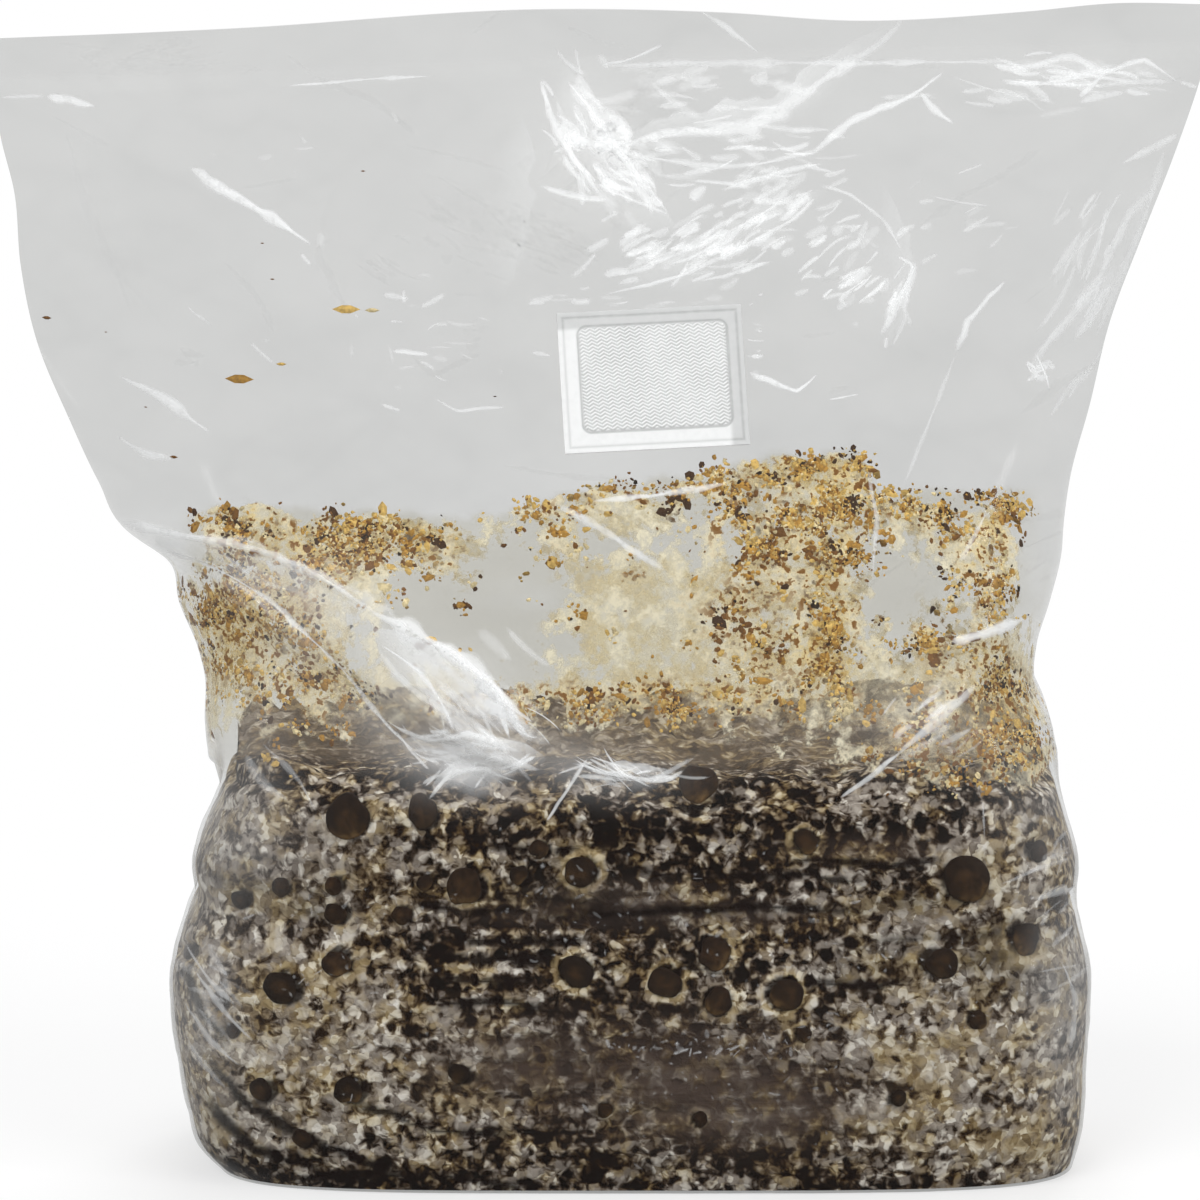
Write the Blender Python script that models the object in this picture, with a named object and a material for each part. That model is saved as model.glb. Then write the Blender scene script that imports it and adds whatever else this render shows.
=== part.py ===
"""A mushroom grow bag: a clear gusseted film bag with a welded top and a filter patch,
standing on the block of overgrown substrate that fills its lower third.

Metres, +Z up, front towards -Y. The origin is under the middle of the bag's box, on the
surface that the bag stands on."""

import math
import random

import bmesh
import bpy
import numpy as np
from mathutils import Matrix, Vector

# Overall sizes
TOP_WIDTH = 0.323
WELD_HEIGHT = 0.294
BLOCK_WIDTH = 0.247
BLOCK_DEPTH = 0.118
BLOCK_HEIGHT = 0.112

# The block stands a little to the right of the middle of the weld
BLOCK_OFFSET = 0.008

# Film, weld and the two loose layers above the weld
FILM_WALL = 0.0005
CLEARANCE = 0.0003
WELD_BAND = 0.004
WELD_RISE = 0.010
SKIRT_FOOT = 0.006
SKIRT_HEIGHT = 0.0145
SKIRT_SLOT = 0.0007
EDGE_FOLD = 0.0030
CAVITY_STOP = 0.03

# The weld's wave towards the front and back: its depth, its bends over the width and where it
# starts, and the height, as a share of the block's, at which the wave and the slope set in
TOP_WAVE = 0.005
WAVE_BENDS = 1.15
WAVE_SHIFT = 0.22
LEAN_START = 1.15

# Filter patch: a welded border round a raised field, over a window in the film. Its middle lies
# at PATCH_X, at PATCH_DROP below the weld
PATCH_WIDTH = 0.049
PATCH_HEIGHT = 0.038
PATCH_BORDER = 0.0048
PATCH_X = 0.014
PATCH_DROP = 0.078
PATCH_Z = WELD_HEIGHT - PATCH_DROP
PATCH_ROLL = math.radians(3.5)
PATCH_BORDER_THICK = 0.0004
PATCH_FIELD_THICK = 0.0009
WINDOW_MARGIN = 0.0030
WINDOW_CUT = 0.006

# The film lies flat under the patch and this many mesh columns past it, then bends away
FLAT_COLUMNS = 1.2
BEND_COLUMNS = 4.0

# Mesh steps, and the angle past which an edge is drawn sharp
COLUMNS = 52
CURVE_STEPS = 400
KERNEL_SEGMENTS, KERNEL_RINGS = 8, 6
BLOCK_RINGS = 11
HEADSPACE_RINGS = 16
BLOCK_TOP_ROWS = 8
SHARP_ANGLE = math.radians(50)

# Height in the block as a share of its height, then the film's reach to the left and to the
# right as shares of half its width, and to the front and back as a share of half its depth
BLOCK_SECTIONS = [
    (0.00, 0.900, 0.975, 0.90),
    (0.05, 0.945, 0.988, 0.94),
    (0.14, 0.972, 1.000, 0.97),
    (0.24, 0.988, 1.002, 0.99),
    (0.36, 1.004, 1.008, 1.00),
    (0.49, 1.004, 1.008, 1.00),
    (0.58, 0.980, 0.988, 0.98),
    (0.66, 0.950, 0.976, 0.96),
    (0.75, 0.955, 0.980, 0.97),
    (0.84, 0.922, 0.958, 0.97),
    (0.92, 0.895, 0.940, 0.96),
    (1.00, 0.908, 0.932, 0.94),
]

# Height above the block as a share of the way to the weld, then how far the left and right
# edges have come from the block's width to the weld's, the depth as a share of the block's,
# and how boxy the section is, from 1 like the block to 0 like a lens
HEADSPACE_SECTIONS = [
    (0.00, -0.22, -0.27, 0.94, 1.00),
    (0.06, -0.20, -0.36, 0.93, 0.85),
    (0.11, -0.20, -0.48, 0.91, 0.68),
    (0.16, -0.15, -0.46, 0.89, 0.52),
    (0.22, -0.05, -0.35, 0.86, 0.40),
    (0.29, 0.04, -0.24, 0.81, 0.27),
    (0.33, 0.27, -0.22, 0.77, 0.20),
    (0.40, 0.42, -0.16, 0.71, 0.10),
    (0.50, 0.59, 0.00, 0.62, 0.02),
    (0.62, 0.77, 0.17, 0.50, 0.00),
    (0.74, 0.86, 0.44, 0.36, 0.00),
    (0.85, 0.89, 0.70, 0.22, 0.00),
    (0.94, 0.97, 0.89, 0.09, 0.00),
    (1.00, 1.00, 1.00, 0.00, 0.00),
]

# Place along the top edge as a share of half its width, and the loose layers' height there
# as a share of SKIRT_HEIGHT
TOP_EDGE = [
    (-1.00, 1.00),
    (-0.60, 1.07),
    (-0.10, 1.20),
    (0.20, 1.02),
    (0.42, 0.80),
    (0.70, 0.90),
    (0.85, 1.02),
    (1.00, 0.96),
]

# Folds in the film where the gussets open out: the panel (-1 front, 1 back), each end as shares
# of half the block's width and of the weld's height, how proud the fold stands, and its width
# above and below its line
FOLDS = [
    (-1, (-1.02, 0.590), (-0.16, 0.385), 0.0060, 0.030, 0.006),
    (-1, (0.97, 0.590), (0.52, 0.360), 0.0035, 0.020, 0.006),
    (1, (-0.98, 0.570), (-0.40, 0.380), 0.0045, 0.026, 0.007),
    (1, (1.00, 0.600), (0.30, 0.400), 0.0055, 0.028, 0.006),
]
# The shares of a fold's length over which it grows and fades, and its fade towards the side edges
FOLD_GROWS = (-0.15, 0.15)
FOLD_FADES = (0.75, 1.15)
EDGE_FADE = BLOCK_DEPTH / 8

# Dark kernels that show at the block's face: the panel, the place as shares of half its width
# and of its height, and the diameter. They lie KERNEL_SEAT behind the face's own plane
KERNELS = [
    (-1, -0.60, 0.928, 0.0095),
    (-1, -0.45, 0.925, 0.0080),
    (-1, -0.33, 0.759, 0.0090),
    (-1, -0.10, 0.788, 0.0095),
    (-1, 0.14, 0.940, 0.0095),
    (-1, 0.38, 0.868, 0.0075),
    (-1, 0.72, 0.764, 0.0120),
    (-1, 0.66, 0.566, 0.0085),
    (-1, 0.08, 0.523, 0.0090),
    (-1, 0.18, 0.603, 0.0085),
    (-1, -0.12, 0.554, 0.0090),
    (-1, 0.34, 0.506, 0.0085),
    (-1, -0.75, 0.511, 0.0090),
    (-1, -0.63, 0.578, 0.0080),
    (-1, -0.64, 0.759, 0.0075),
    (-1, -0.60, 0.263, 0.0080),
    (-1, -0.80, 0.270, 0.0075),
    (1, -0.70, 0.760, 0.0100),
    (1, -0.38, 0.560, 0.0085),
    (1, -0.10, 0.820, 0.0090),
    (1, 0.22, 0.640, 0.0100),
    (1, 0.55, 0.800, 0.0085),
    (1, 0.62, 0.420, 0.0090),
    (1, -0.55, 0.320, 0.0080),
    (1, 0.05, 0.380, 0.0085),
]
KERNEL_SEAT = 0.0005
KERNEL_FLATNESS = 0.55

# Lumps in the block's sides and on its top, and the round of its upper edge
LUMP_DEPTH = 0.0018
TOP_LUMP = 0.0022
MOUND_LOW, MOUND_HIGH = 0.2, 2.2
BLOCK_EDGE = 0.006

# Powers of the section's curve: across and deep alike at the block, and apart in the lens shape
# of the empty film above it
BOXY = 4.4
LENS_ACROSS, LENS_DEEP = 2.2, 1.15


def clear_scene():
    for obj in list(bpy.data.objects):
        bpy.data.objects.remove(obj, do_unlink=True)


def smoothstep(low, high, value):
    share = np.clip((value - low) / (high - low), 0.0, 1.0)
    return share * share * (3 - 2 * share)


def along(table, column, place):
    """A smooth curve through one column of a table, read at a place in its first column."""
    places = np.array([row[0] for row in table])
    values = np.array([row[column] for row in table])
    slopes = np.gradient(values, places)
    i = int(np.clip(np.searchsorted(places, place) - 1, 0, len(places) - 2))
    step = places[i + 1] - places[i]
    t = min(max((place - places[i]) / step, 0.0), 1.0)
    return (
        (2 * t**3 - 3 * t**2 + 1) * values[i]
        + (t**3 - 2 * t**2 + t) * step * slopes[i]
        + (3 * t**2 - 2 * t**3) * values[i + 1]
        + (t**3 - t**2) * step * slopes[i + 1]
    )


def section(height):
    """The film's outer cross-section at a height below the weld: its middle, its reach to the
    left, the right and the front, and how boxy it is."""
    half_block, half_top = BLOCK_WIDTH / 2, TOP_WIDTH / 2
    if height <= BLOCK_HEIGHT:
        share = height / BLOCK_HEIGHT
        left = along(BLOCK_SECTIONS, 1, share) * half_block
        right = along(BLOCK_SECTIONS, 2, share) * half_block
        deep = along(BLOCK_SECTIONS, 3, share) * BLOCK_DEPTH / 2
        return BLOCK_OFFSET, left, right, deep, 1.0
    share = (height - BLOCK_HEIGHT) / (WELD_HEIGHT - BLOCK_HEIGHT)
    share = min(share, 1.0)
    middle = BLOCK_OFFSET * (1 - share)
    out_left, out_right = along(HEADSPACE_SECTIONS, 1, share), along(HEADSPACE_SECTIONS, 2, share)
    left = (1 - out_left) * (half_block - BLOCK_OFFSET) + out_left * half_top + middle
    right = (1 - out_right) * (half_block + BLOCK_OFFSET) + out_right * half_top - middle
    deep = along(HEADSPACE_SECTIONS, 3, share) * (BLOCK_DEPTH / 2 - FILM_WALL) + FILM_WALL
    return middle, left, right, deep, along(HEADSPACE_SECTIONS, 4, share)


def outline(height, inset):
    """The points of one cross-section, moved in by inset, an even distance apart in each of its
    four quarters: from the left edge by the front to the right edge, and back by the rear."""
    middle, left, right, deep, boxy = section(height)
    tip = inset * (1 + (EDGE_FOLD / FILM_WALL - 1) * (1 - boxy)) if inset else 0.0
    left, right, deep = left - tip, right - tip, deep - inset
    across = LENS_ACROSS + (BOXY - LENS_ACROSS) * boxy
    power = LENS_DEEP + (BOXY - LENS_DEEP) * boxy
    angle = np.linspace(0, math.pi / 2, CURVE_STEPS)
    outward = np.cos(angle) ** (2 / across)
    deepness = deep * np.sin(angle) ** (2 / power)
    points = []
    quarters = [(-left, -1, False), (right, -1, True), (right, 1, False), (-left, 1, True)]
    for reach, side, backwards in quarters:
        x, y = reach * outward, side * deepness
        steps = np.concatenate([[0], np.cumsum(np.hypot(np.diff(x), np.diff(y)))])
        wanted = np.linspace(0, steps[-1], COLUMNS // 4 + 1)
        x, y = np.interp(wanted, steps, x), np.interp(wanted, steps, y)
        if backwards:
            x, y = x[::-1], y[::-1]
        points += [(middle + a, b) for a, b in zip(x[:-1], y[:-1])]
    return points


def fold_height(x, height, panel):
    """How proud the film stands of its plain shape, from the folds on one panel."""
    proud = 0.0
    for side, start, end, rise, above, below in FOLDS:
        if side != panel:
            continue
        a = np.array([start[0] * BLOCK_WIDTH / 2 + BLOCK_OFFSET, start[1] * WELD_HEIGHT])
        b = np.array([end[0] * BLOCK_WIDTH / 2 + BLOCK_OFFSET, end[1] * WELD_HEIGHT])
        line = b - a
        length = float(np.hypot(*line))
        line = line / length
        offset = np.array([x, height]) - a
        travel = float(offset @ line) / length
        normal = np.array([-line[1], line[0]])
        if normal[1] < 0:
            normal = -normal
        distance = float(offset @ normal)
        spread = above if distance > 0 else below
        taper = smoothstep(*FOLD_GROWS, travel) * (1 - smoothstep(*FOLD_FADES, travel))
        proud += rise * taper * math.exp(-((distance / spread) ** 2))
    return proud


def edge_share(y):
    """The folds run out to nothing at the side edges, where the panels meet."""
    return min(abs(y) / EDGE_FADE, 1.0)


def lean(height):
    """How much of the weld's slope and waviness a height has: none at the block, all at the weld."""
    start = LEAN_START * BLOCK_HEIGHT
    return float(smoothstep(start, WELD_HEIGHT, min(height, WELD_HEIGHT)))


def wave(x, height):
    across = x / (TOP_WIDTH / 2)
    return TOP_WAVE * lean(height) * math.sin(math.pi * WAVE_BENDS * (across + WAVE_SHIFT))


def panel_normal(x, z, panel, step=0.004):
    """A point of a panel and the outward direction there."""
    across = panel_point(x + step, z, panel) - panel_point(x - step, z, panel)
    up = panel_point(x, z + step, panel) - panel_point(x, z - step, panel)
    return panel_point(x, z, panel), -panel * across.cross(up).normalized()


def patch_frame():
    """The patch's place on the film: its middle, and its right, up and outward directions."""
    centre, outward = panel_normal(PATCH_X, PATCH_Z, -1)
    right = (Vector((1, 0, 0)) - outward * outward.x).normalized()
    turn = Matrix.Rotation(PATCH_ROLL, 3, outward)
    return centre, turn @ right, turn @ outward.cross(right), outward


def panel_point(x, z, panel):
    """The point of the front (-1) or back (1) panel at x and z, before the patch flattens it."""
    height = z - WELD_RISE * lean(z) * x / TOP_WIDTH
    middle, left, right, deep, boxy = section(height)
    across = LENS_ACROSS + (BOXY - LENS_ACROSS) * boxy
    power = LENS_DEEP + (BOXY - LENS_DEEP) * boxy
    reach = left if x < middle else right
    share = min(abs(x - middle) / reach, 1.0)
    y = deep * (1 - share**across) ** (1 / power)
    y += fold_height(x, height, panel) * edge_share(y)
    return Vector((x, panel * y + wave(x, height), z))


def flattened(point, frame):
    """The patch keeps the film under it flat: this draws a front point onto the patch's plane."""
    centre, right, up, outward = frame
    cell = 2 * TOP_WIDTH / COLUMNS
    offset = point - centre
    beside = max(abs(offset.dot(right)) - PATCH_WIDTH / 2, 0.0)
    beyond = max(abs(offset.dot(up)) - PATCH_HEIGHT / 2, 0.0)
    distance = math.hypot(beside, beyond) / cell
    weight = 1 - float(smoothstep(FLAT_COLUMNS, BEND_COLUMNS, distance))
    on_plane = point.y - offset.dot(outward) / outward.y
    return Vector((point.x, point.y + weight * (on_plane - point.y), point.z))


def ring(height, inset, frame, thickness=None):
    """One ring of the film at a nominal height, with its folds, its lean and the patch's flat
    place. Above the weld the section stays a thin slit of the given thickness."""
    points = []
    outside = outline(min(height, WELD_HEIGHT), 0.0)
    inside = outline(min(height, WELD_HEIGHT), inset) if inset else outside
    for i, ((x0, y0), (x, y)) in enumerate(zip(outside, inside)):
        panel = -1 if i <= COLUMNS // 2 else 1
        if thickness is not None:
            y *= thickness / 2 / FILM_WALL
        proud = fold_height(x, height, panel) * edge_share(y0)
        rise = WELD_RISE * lean(height) * x / TOP_WIDTH
        point = Vector((x, y + panel * proud + wave(x, height), height + rise))
        if panel < 0:
            bare = Vector((x, y0 + panel * proud + wave(x, height), point.z))
            point += flattened(bare, frame) - bare
        points.append(point)
    return points


def film_heights():
    block = [BLOCK_HEIGHT * i / BLOCK_RINGS for i in range(BLOCK_RINGS)]
    above = np.linspace(BLOCK_HEIGHT, WELD_HEIGHT, HEADSPACE_RINGS + 1)
    return block + [float(h) for h in above]


def strip_cap(bm, ring_verts, rows, height_of=None, facing_up=True):
    """Closes a ring with rows of faces that run from its front half to its back half."""
    half = len(ring_verts) // 2
    lines = [[ring_verts[0]] * (rows + 1)]
    for i in range(1, half):
        front, back = ring_verts[i], ring_verts[-i]
        line = [front]
        for j in range(1, rows):
            point = front.co.lerp(back.co, j / rows)
            if height_of:
                point.z += height_of(point)
            line.append(bm.verts.new(point))
        lines.append(line + [back])
    lines.append([ring_verts[half]] * (rows + 1))
    for first, second in zip(lines, lines[1:]):
        for j in range(rows):
            corners = [first[j], second[j], second[j + 1], first[j + 1]]
            corners = list(dict.fromkeys(corners))
            if len(corners) > 2:
                bm.faces.new(corners if facing_up else corners[::-1])


def placed(name, bm, smooth=True):
    """A new object from a bmesh, smooth but for its sharp edges."""
    mesh = bpy.data.meshes.new(name)
    bm.to_mesh(mesh)
    bm.free()
    if smooth:
        mesh.shade_smooth()
        mesh.set_sharp_from_angle(angle=SHARP_ANGLE)
    obj = bpy.data.objects.new(name, mesh)
    bpy.context.scene.collection.objects.link(obj)
    return obj


def loft(name, rings, top_rows=1, top_height=None):
    """A closed solid through rings of points, from the lowest up, with both ends capped."""
    bm = bmesh.new()
    levels = [[bm.verts.new(point) for point in points] for points in rings]
    for low, high in zip(levels, levels[1:]):
        for i in range(len(low)):
            j = (i + 1) % len(low)
            bm.faces.new((low[i], low[j], high[j], high[i]))
    strip_cap(bm, levels[0], 1, facing_up=False)
    strip_cap(bm, levels[-1], top_rows, top_height)
    bmesh.ops.recalc_face_normals(bm, faces=bm.faces)
    if bm.calc_volume(signed=True) < 0:
        bmesh.ops.reverse_faces(bm, faces=bm.faces)
    return placed(name, bm)


def combine(obj, other, operation):
    """Cuts the other object from this one, or joins it on, and keeps the other out of sight."""
    modifier = obj.modifiers.new(other.name, "BOOLEAN")
    modifier.operation = operation
    modifier.solver = "EXACT"
    modifier.object = other
    other.hide_render = True
    other.display_type = "WIRE"


def paint(obj, name, colour, roughness, alpha=1.0):
    material = bpy.data.materials.new(name)
    material.use_nodes = True
    shader = material.node_tree.nodes["Principled BSDF"]
    shader.inputs["Base Color"].default_value = (*colour, 1.0)
    shader.inputs["Roughness"].default_value = roughness
    shader.inputs["Metallic"].default_value = 0.0
    shader.inputs["Alpha"].default_value = alpha
    obj.data.materials.append(material)


def slab(name, width, height, low, high, frame):
    """A rectangular slab in the patch's own directions, from low to high above the film."""
    centre, right, up, outward = frame
    bm = bmesh.new()
    bmesh.ops.create_cube(bm, size=1.0)
    bmesh.ops.scale(bm, vec=(width, height, high - low), verts=bm.verts)
    bmesh.ops.translate(bm, vec=(0, 0, (low + high) / 2), verts=bm.verts)
    obj = placed(name, bm, smooth=False)
    turn = Matrix((right, up, outward)).transposed().to_4x4()
    obj.matrix_world = Matrix.Translation(centre) @ turn
    return obj


def build_film(frame):
    """The bag: one skin of film, hollow, welded across the top, with a window behind the patch."""
    heights = film_heights()
    rings = [ring(h, 0.0, frame) for h in heights]
    skirt_thick = 2 * FILM_WALL + SKIRT_SLOT
    skirt_foot = WELD_HEIGHT + SKIRT_FOOT
    rings.append(ring(WELD_HEIGHT + WELD_BAND, 0.0, frame))
    rings.append(ring(skirt_foot, 0.0, frame, skirt_thick))
    rings.append(top_ring(frame, skirt_thick))
    film = loft("bag_film", rings)

    inner_top = heights[-1] - CAVITY_STOP * (heights[-1] - heights[-2])
    inner_heights = [FILM_WALL] + heights[1:-1] + [inner_top]
    cavity = loft("cavity", [ring(h, FILM_WALL, frame) for h in inner_heights])
    combine(film, cavity, "DIFFERENCE")

    slot_foot = [narrowed(point) for point in ring(skirt_foot, 0.0, frame, SKIRT_SLOT)]
    slot_top = [narrowed(point) for point in top_ring(frame, SKIRT_SLOT)]
    slot_rings = [slot_foot, slot_top, [point + Vector((0, 0, SKIRT_HEIGHT)) for point in slot_top]]
    combine(film, loft("skirt_slot", slot_rings), "DIFFERENCE")

    margin = 2 * (PATCH_BORDER + WINDOW_MARGIN)
    window = slab("window", PATCH_WIDTH - margin, PATCH_HEIGHT - margin, -WINDOW_CUT, WINDOW_CUT, frame)
    combine(film, window, "DIFFERENCE")
    paint(film, "clear_film", (0.80, 0.81, 0.81), 0.12, 0.3)
    return film


def narrowed(point):
    """Draws a slot's point in from the folded side edges of the loose layers."""
    return Vector((point.x * (1 - 2 * EDGE_FOLD / TOP_WIDTH), point.y, point.z))


def top_ring(frame, thickness):
    """The free upper edge of the two loose layers, which rises and dips along its length."""
    points = ring(WELD_HEIGHT + SKIRT_HEIGHT, 0.0, frame, thickness)
    for point in points:
        share = min(max(point.x / (TOP_WIDTH / 2), -1.0), 1.0)
        point.z += (along(TOP_EDGE, 1, share) - 1) * SKIRT_HEIGHT
    return points


def build_block(frame):
    """The substrate, grown together in one block against the film, with a lumpy face."""
    chance = random.Random(7)
    gap = FILM_WALL + CLEARANCE
    heights = [gap] + film_heights()[1 : BLOCK_RINGS + 1]
    rings = []
    for level, height in enumerate(heights):
        points = ring(height, gap, frame)
        last = level == len(heights) - 1
        for i, point in enumerate(points):
            inward = Vector((BLOCK_OFFSET - point.x, -point.y, 0)).normalized()
            depth = BLOCK_EDGE if last else LUMP_DEPTH * chance.random()
            points[i] = point + inward * depth
            if last:
                points[i].z += TOP_LUMP * chance.uniform(-0.5, 0.5)
        rings.append(points)

    def mound(point):
        return TOP_LUMP * chance.uniform(MOUND_LOW, MOUND_HIGH)

    block = loft("substrate_block", rings, BLOCK_TOP_ROWS, mound)
    combine(block, kernels(), "UNION")
    paint(block, "overgrown_substrate", (0.20, 0.16, 0.13), 0.85)
    return block


def kernels():
    """The kernels at the block's face, as flattened domes that stop short of the film."""
    bm = bmesh.new()
    for panel, across, up, diameter in KERNELS:
        x = BLOCK_OFFSET + across * BLOCK_WIDTH / 2
        face, outward = panel_normal(x, up * BLOCK_HEIGHT, panel)
        half_thick = KERNEL_FLATNESS * diameter / 2
        centre = face - outward * (FILM_WALL + CLEARANCE + KERNEL_SEAT + half_thick)
        turn = outward.to_track_quat("Z", "Y").to_matrix().to_4x4()
        squash = Matrix.Diagonal((diameter / 2, diameter / 2, half_thick, 1.0))
        bmesh.ops.create_uvsphere(
            bm,
            u_segments=KERNEL_SEGMENTS,
            v_segments=KERNEL_RINGS,
            radius=1.0,
            matrix=Matrix.Translation(centre) @ turn @ squash,
        )
    return placed("kernels", bm)


def build_patch(frame):
    """The filter patch: a thin welded border with a thicker field inside it."""
    low = CLEARANCE
    patch = slab("filter_patch", PATCH_WIDTH, PATCH_HEIGHT, low, low + PATCH_BORDER_THICK, frame)
    bm = bmesh.new()
    bm.from_mesh(patch.data)
    bm.faces.ensure_lookup_table()
    front = max(bm.faces, key=lambda face: face.calc_center_median().z)
    bmesh.ops.inset_individual(bm, faces=[front], thickness=PATCH_BORDER, depth=0.0)
    rise = PATCH_FIELD_THICK - PATCH_BORDER_THICK
    bmesh.ops.inset_individual(bm, faces=[front], thickness=rise, depth=rise)
    bm.to_mesh(patch.data)
    bm.free()
    paint(patch, "filter_membrane", (0.86, 0.87, 0.86), 0.7)
    return patch


def main():
    clear_scene()
    frame = patch_frame()
    build_film(frame)
    build_block(frame)
    build_patch(frame)


main()
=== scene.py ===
"""The look of the mushroom grow bag: the crumpled film, the overgrown block inside it, the
residue on the film's inner face, and the filter patch."""

import math

import bpy
import numpy as np
from mathutils import Matrix, Vector


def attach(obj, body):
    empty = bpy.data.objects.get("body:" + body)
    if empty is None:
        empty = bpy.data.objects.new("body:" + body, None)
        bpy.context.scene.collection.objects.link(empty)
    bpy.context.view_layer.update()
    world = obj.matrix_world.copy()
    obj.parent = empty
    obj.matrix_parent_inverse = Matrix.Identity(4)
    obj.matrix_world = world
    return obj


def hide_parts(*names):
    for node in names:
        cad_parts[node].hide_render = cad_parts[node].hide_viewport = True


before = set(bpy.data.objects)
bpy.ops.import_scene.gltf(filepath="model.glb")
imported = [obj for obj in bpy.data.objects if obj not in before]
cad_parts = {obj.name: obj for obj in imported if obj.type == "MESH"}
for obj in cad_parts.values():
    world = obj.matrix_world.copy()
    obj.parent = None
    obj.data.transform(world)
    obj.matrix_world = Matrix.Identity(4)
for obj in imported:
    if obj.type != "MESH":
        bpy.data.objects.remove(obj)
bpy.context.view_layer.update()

MILLIMETRES = 1000

# The part's own sizes, in metres
TOP_WIDTH = 0.323
WELD_HEIGHT = 0.294
BLOCK_WIDTH = 0.247
BLOCK_DEPTH = 0.118
BLOCK_HEIGHT = 0.112
BLOCK_OFFSET = 0.008
FILM_WALL = 0.0005
CLEARANCE = 0.0003
WELD_BAND = 0.004
WELD_RISE = 0.010
SKIRT_HEIGHT = 0.0145
SKIRT_SLOT = 0.0007
TOP_WAVE = 0.005
WAVE_BENDS = 1.15
WAVE_SHIFT = 0.22
LEAN_START = 1.15
PATCH_WIDTH = 0.049
PATCH_HEIGHT = 0.038
PATCH_BORDER = 0.0048
PATCH_X = 0.014
PATCH_Z = 0.216
PATCH_ROLL = math.radians(3.5)
PATCH_STEP = 0.004

# The film lies flat for this far past the patch, then bends away
FLAT_CELL = 2 * TOP_WIDTH / 52
FLAT_REACH = 1.2 * FLAT_CELL
BEND_REACH = 4 * FLAT_CELL

# The camera: elevation, distance, the height it looks at, and the width of the picture there
ELEVATION = math.radians(10)
DISTANCE = 2.0
LOOK_HEIGHT = 0.1514
VIEW_WIDTH = 0.324
SENSOR = 36

# Places in the picture are counted across and down, from 0 to PICTURE
PICTURE = 1200
PIXEL = VIEW_WIDTH / PICTURE

# Rows and columns of the pieces' meshes
CURVE_STEPS = 500
NOISE_CELLS = 256
FRONT_MESH = (96, 176, 326)
BACK_MESH = (50, 90, 180)
SKIRT_ROWS = 18
BOTTOM_ROWS, BOTTOM_COLUMNS = 30, 120
BLOCK_ROWS, BLOCK_COLUMNS, BLOCK_TOP_ROWS = 112, 320, 60
PATCH_ROWS, PATCH_COLUMNS = 194, 250

# How far pieces lie from the film's outer face, in metres
FILM_FOOT = 0.0002
CREASE_LIFT = 0.00012
RESIDUE_DEPTH = 0.00042
CRUMB_GAP = 0.00008

# The back panel shows the front's places mirrored about half of BACK_MIRROR, BACK_RAISE higher
BACK_MIRROR, BACK_RAISE = 1230, 18

# Creases wider than WIDE_CREASE are soft bands of painted highlight, and narrower ones than LOW_CREASE have
# no height
WIDE_CREASE, LOW_CREASE = 18, 5
CREASE_STEP = 4.0
RIBBON_ROWS = 5

# Where the residue and the crumbs begin and end, in the picture
RESIDUE_TOP, RESIDUE_END = 430, 815
STAIN_FADES = (772, 806)
VEIL_FADES = (700, 800)
VEIL_LEFT, VEIL_RIGHT = 175, 1058
CRUMBS_FADE = (785, 812)
CRUMBS_RIGHT = (1048, 1036)

# Height in the block as a share of its height, then the film's reach to the left and to the
# right as shares of half its width, and to the front and back as a share of half its depth
BLOCK_SECTIONS = [
    (0.00, 0.900, 0.975, 0.90),
    (0.05, 0.945, 0.988, 0.94),
    (0.14, 0.972, 1.000, 0.97),
    (0.24, 0.988, 1.002, 0.99),
    (0.36, 1.004, 1.008, 1.00),
    (0.49, 1.004, 1.008, 1.00),
    (0.58, 0.980, 0.988, 0.98),
    (0.66, 0.950, 0.976, 0.96),
    (0.75, 0.955, 0.980, 0.97),
    (0.84, 0.922, 0.958, 0.97),
    (0.92, 0.895, 0.940, 0.96),
    (1.00, 0.908, 0.932, 0.94),
]

# Height above the block as a share of the way to the weld, then how far the left and right
# edges have come from the block's width to the weld's, the depth as a share of the block's,
# and how boxy the section is, from 1 like the block to 0 like a lens
HEADSPACE_SECTIONS = [
    (0.00, -0.22, -0.27, 0.94, 1.00),
    (0.06, -0.20, -0.36, 0.93, 0.85),
    (0.11, -0.20, -0.48, 0.91, 0.68),
    (0.16, -0.15, -0.46, 0.89, 0.52),
    (0.22, -0.05, -0.35, 0.86, 0.40),
    (0.29, 0.04, -0.24, 0.81, 0.27),
    (0.33, 0.27, -0.22, 0.77, 0.20),
    (0.40, 0.42, -0.16, 0.71, 0.10),
    (0.50, 0.59, 0.00, 0.62, 0.02),
    (0.62, 0.77, 0.17, 0.50, 0.00),
    (0.74, 0.86, 0.44, 0.36, 0.00),
    (0.85, 0.89, 0.70, 0.22, 0.00),
    (0.94, 0.97, 0.89, 0.09, 0.00),
    (1.00, 1.00, 1.00, 0.00, 0.00),
]

# Place along the top edge as a share of half its width, and the loose layers' height there
TOP_EDGE = [
    (-1.00, 1.00),
    (-0.60, 1.07),
    (-0.10, 1.20),
    (0.20, 1.02),
    (0.42, 0.80),
    (0.70, 0.90),
    (0.85, 1.02),
    (1.00, 0.96),
]

# Folds where the gussets open out: the panel (-1 front, 1 back), each end as shares of half the
# block's width and of the weld's height, how proud it stands, and its width above and below
FOLDS = [
    (-1, (-1.02, 0.590), (-0.16, 0.385), 0.0060, 0.030, 0.006),
    (-1, (0.97, 0.590), (0.52, 0.360), 0.0035, 0.020, 0.006),
    (1, (-0.98, 0.570), (-0.40, 0.380), 0.0045, 0.026, 0.007),
    (1, (1.00, 0.600), (0.30, 0.400), 0.0055, 0.028, 0.006),
]
FOLD_GROWS = (-0.15, 0.15)
FOLD_FADES = (0.75, 1.15)
EDGE_FADE = BLOCK_DEPTH / 8

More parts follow.
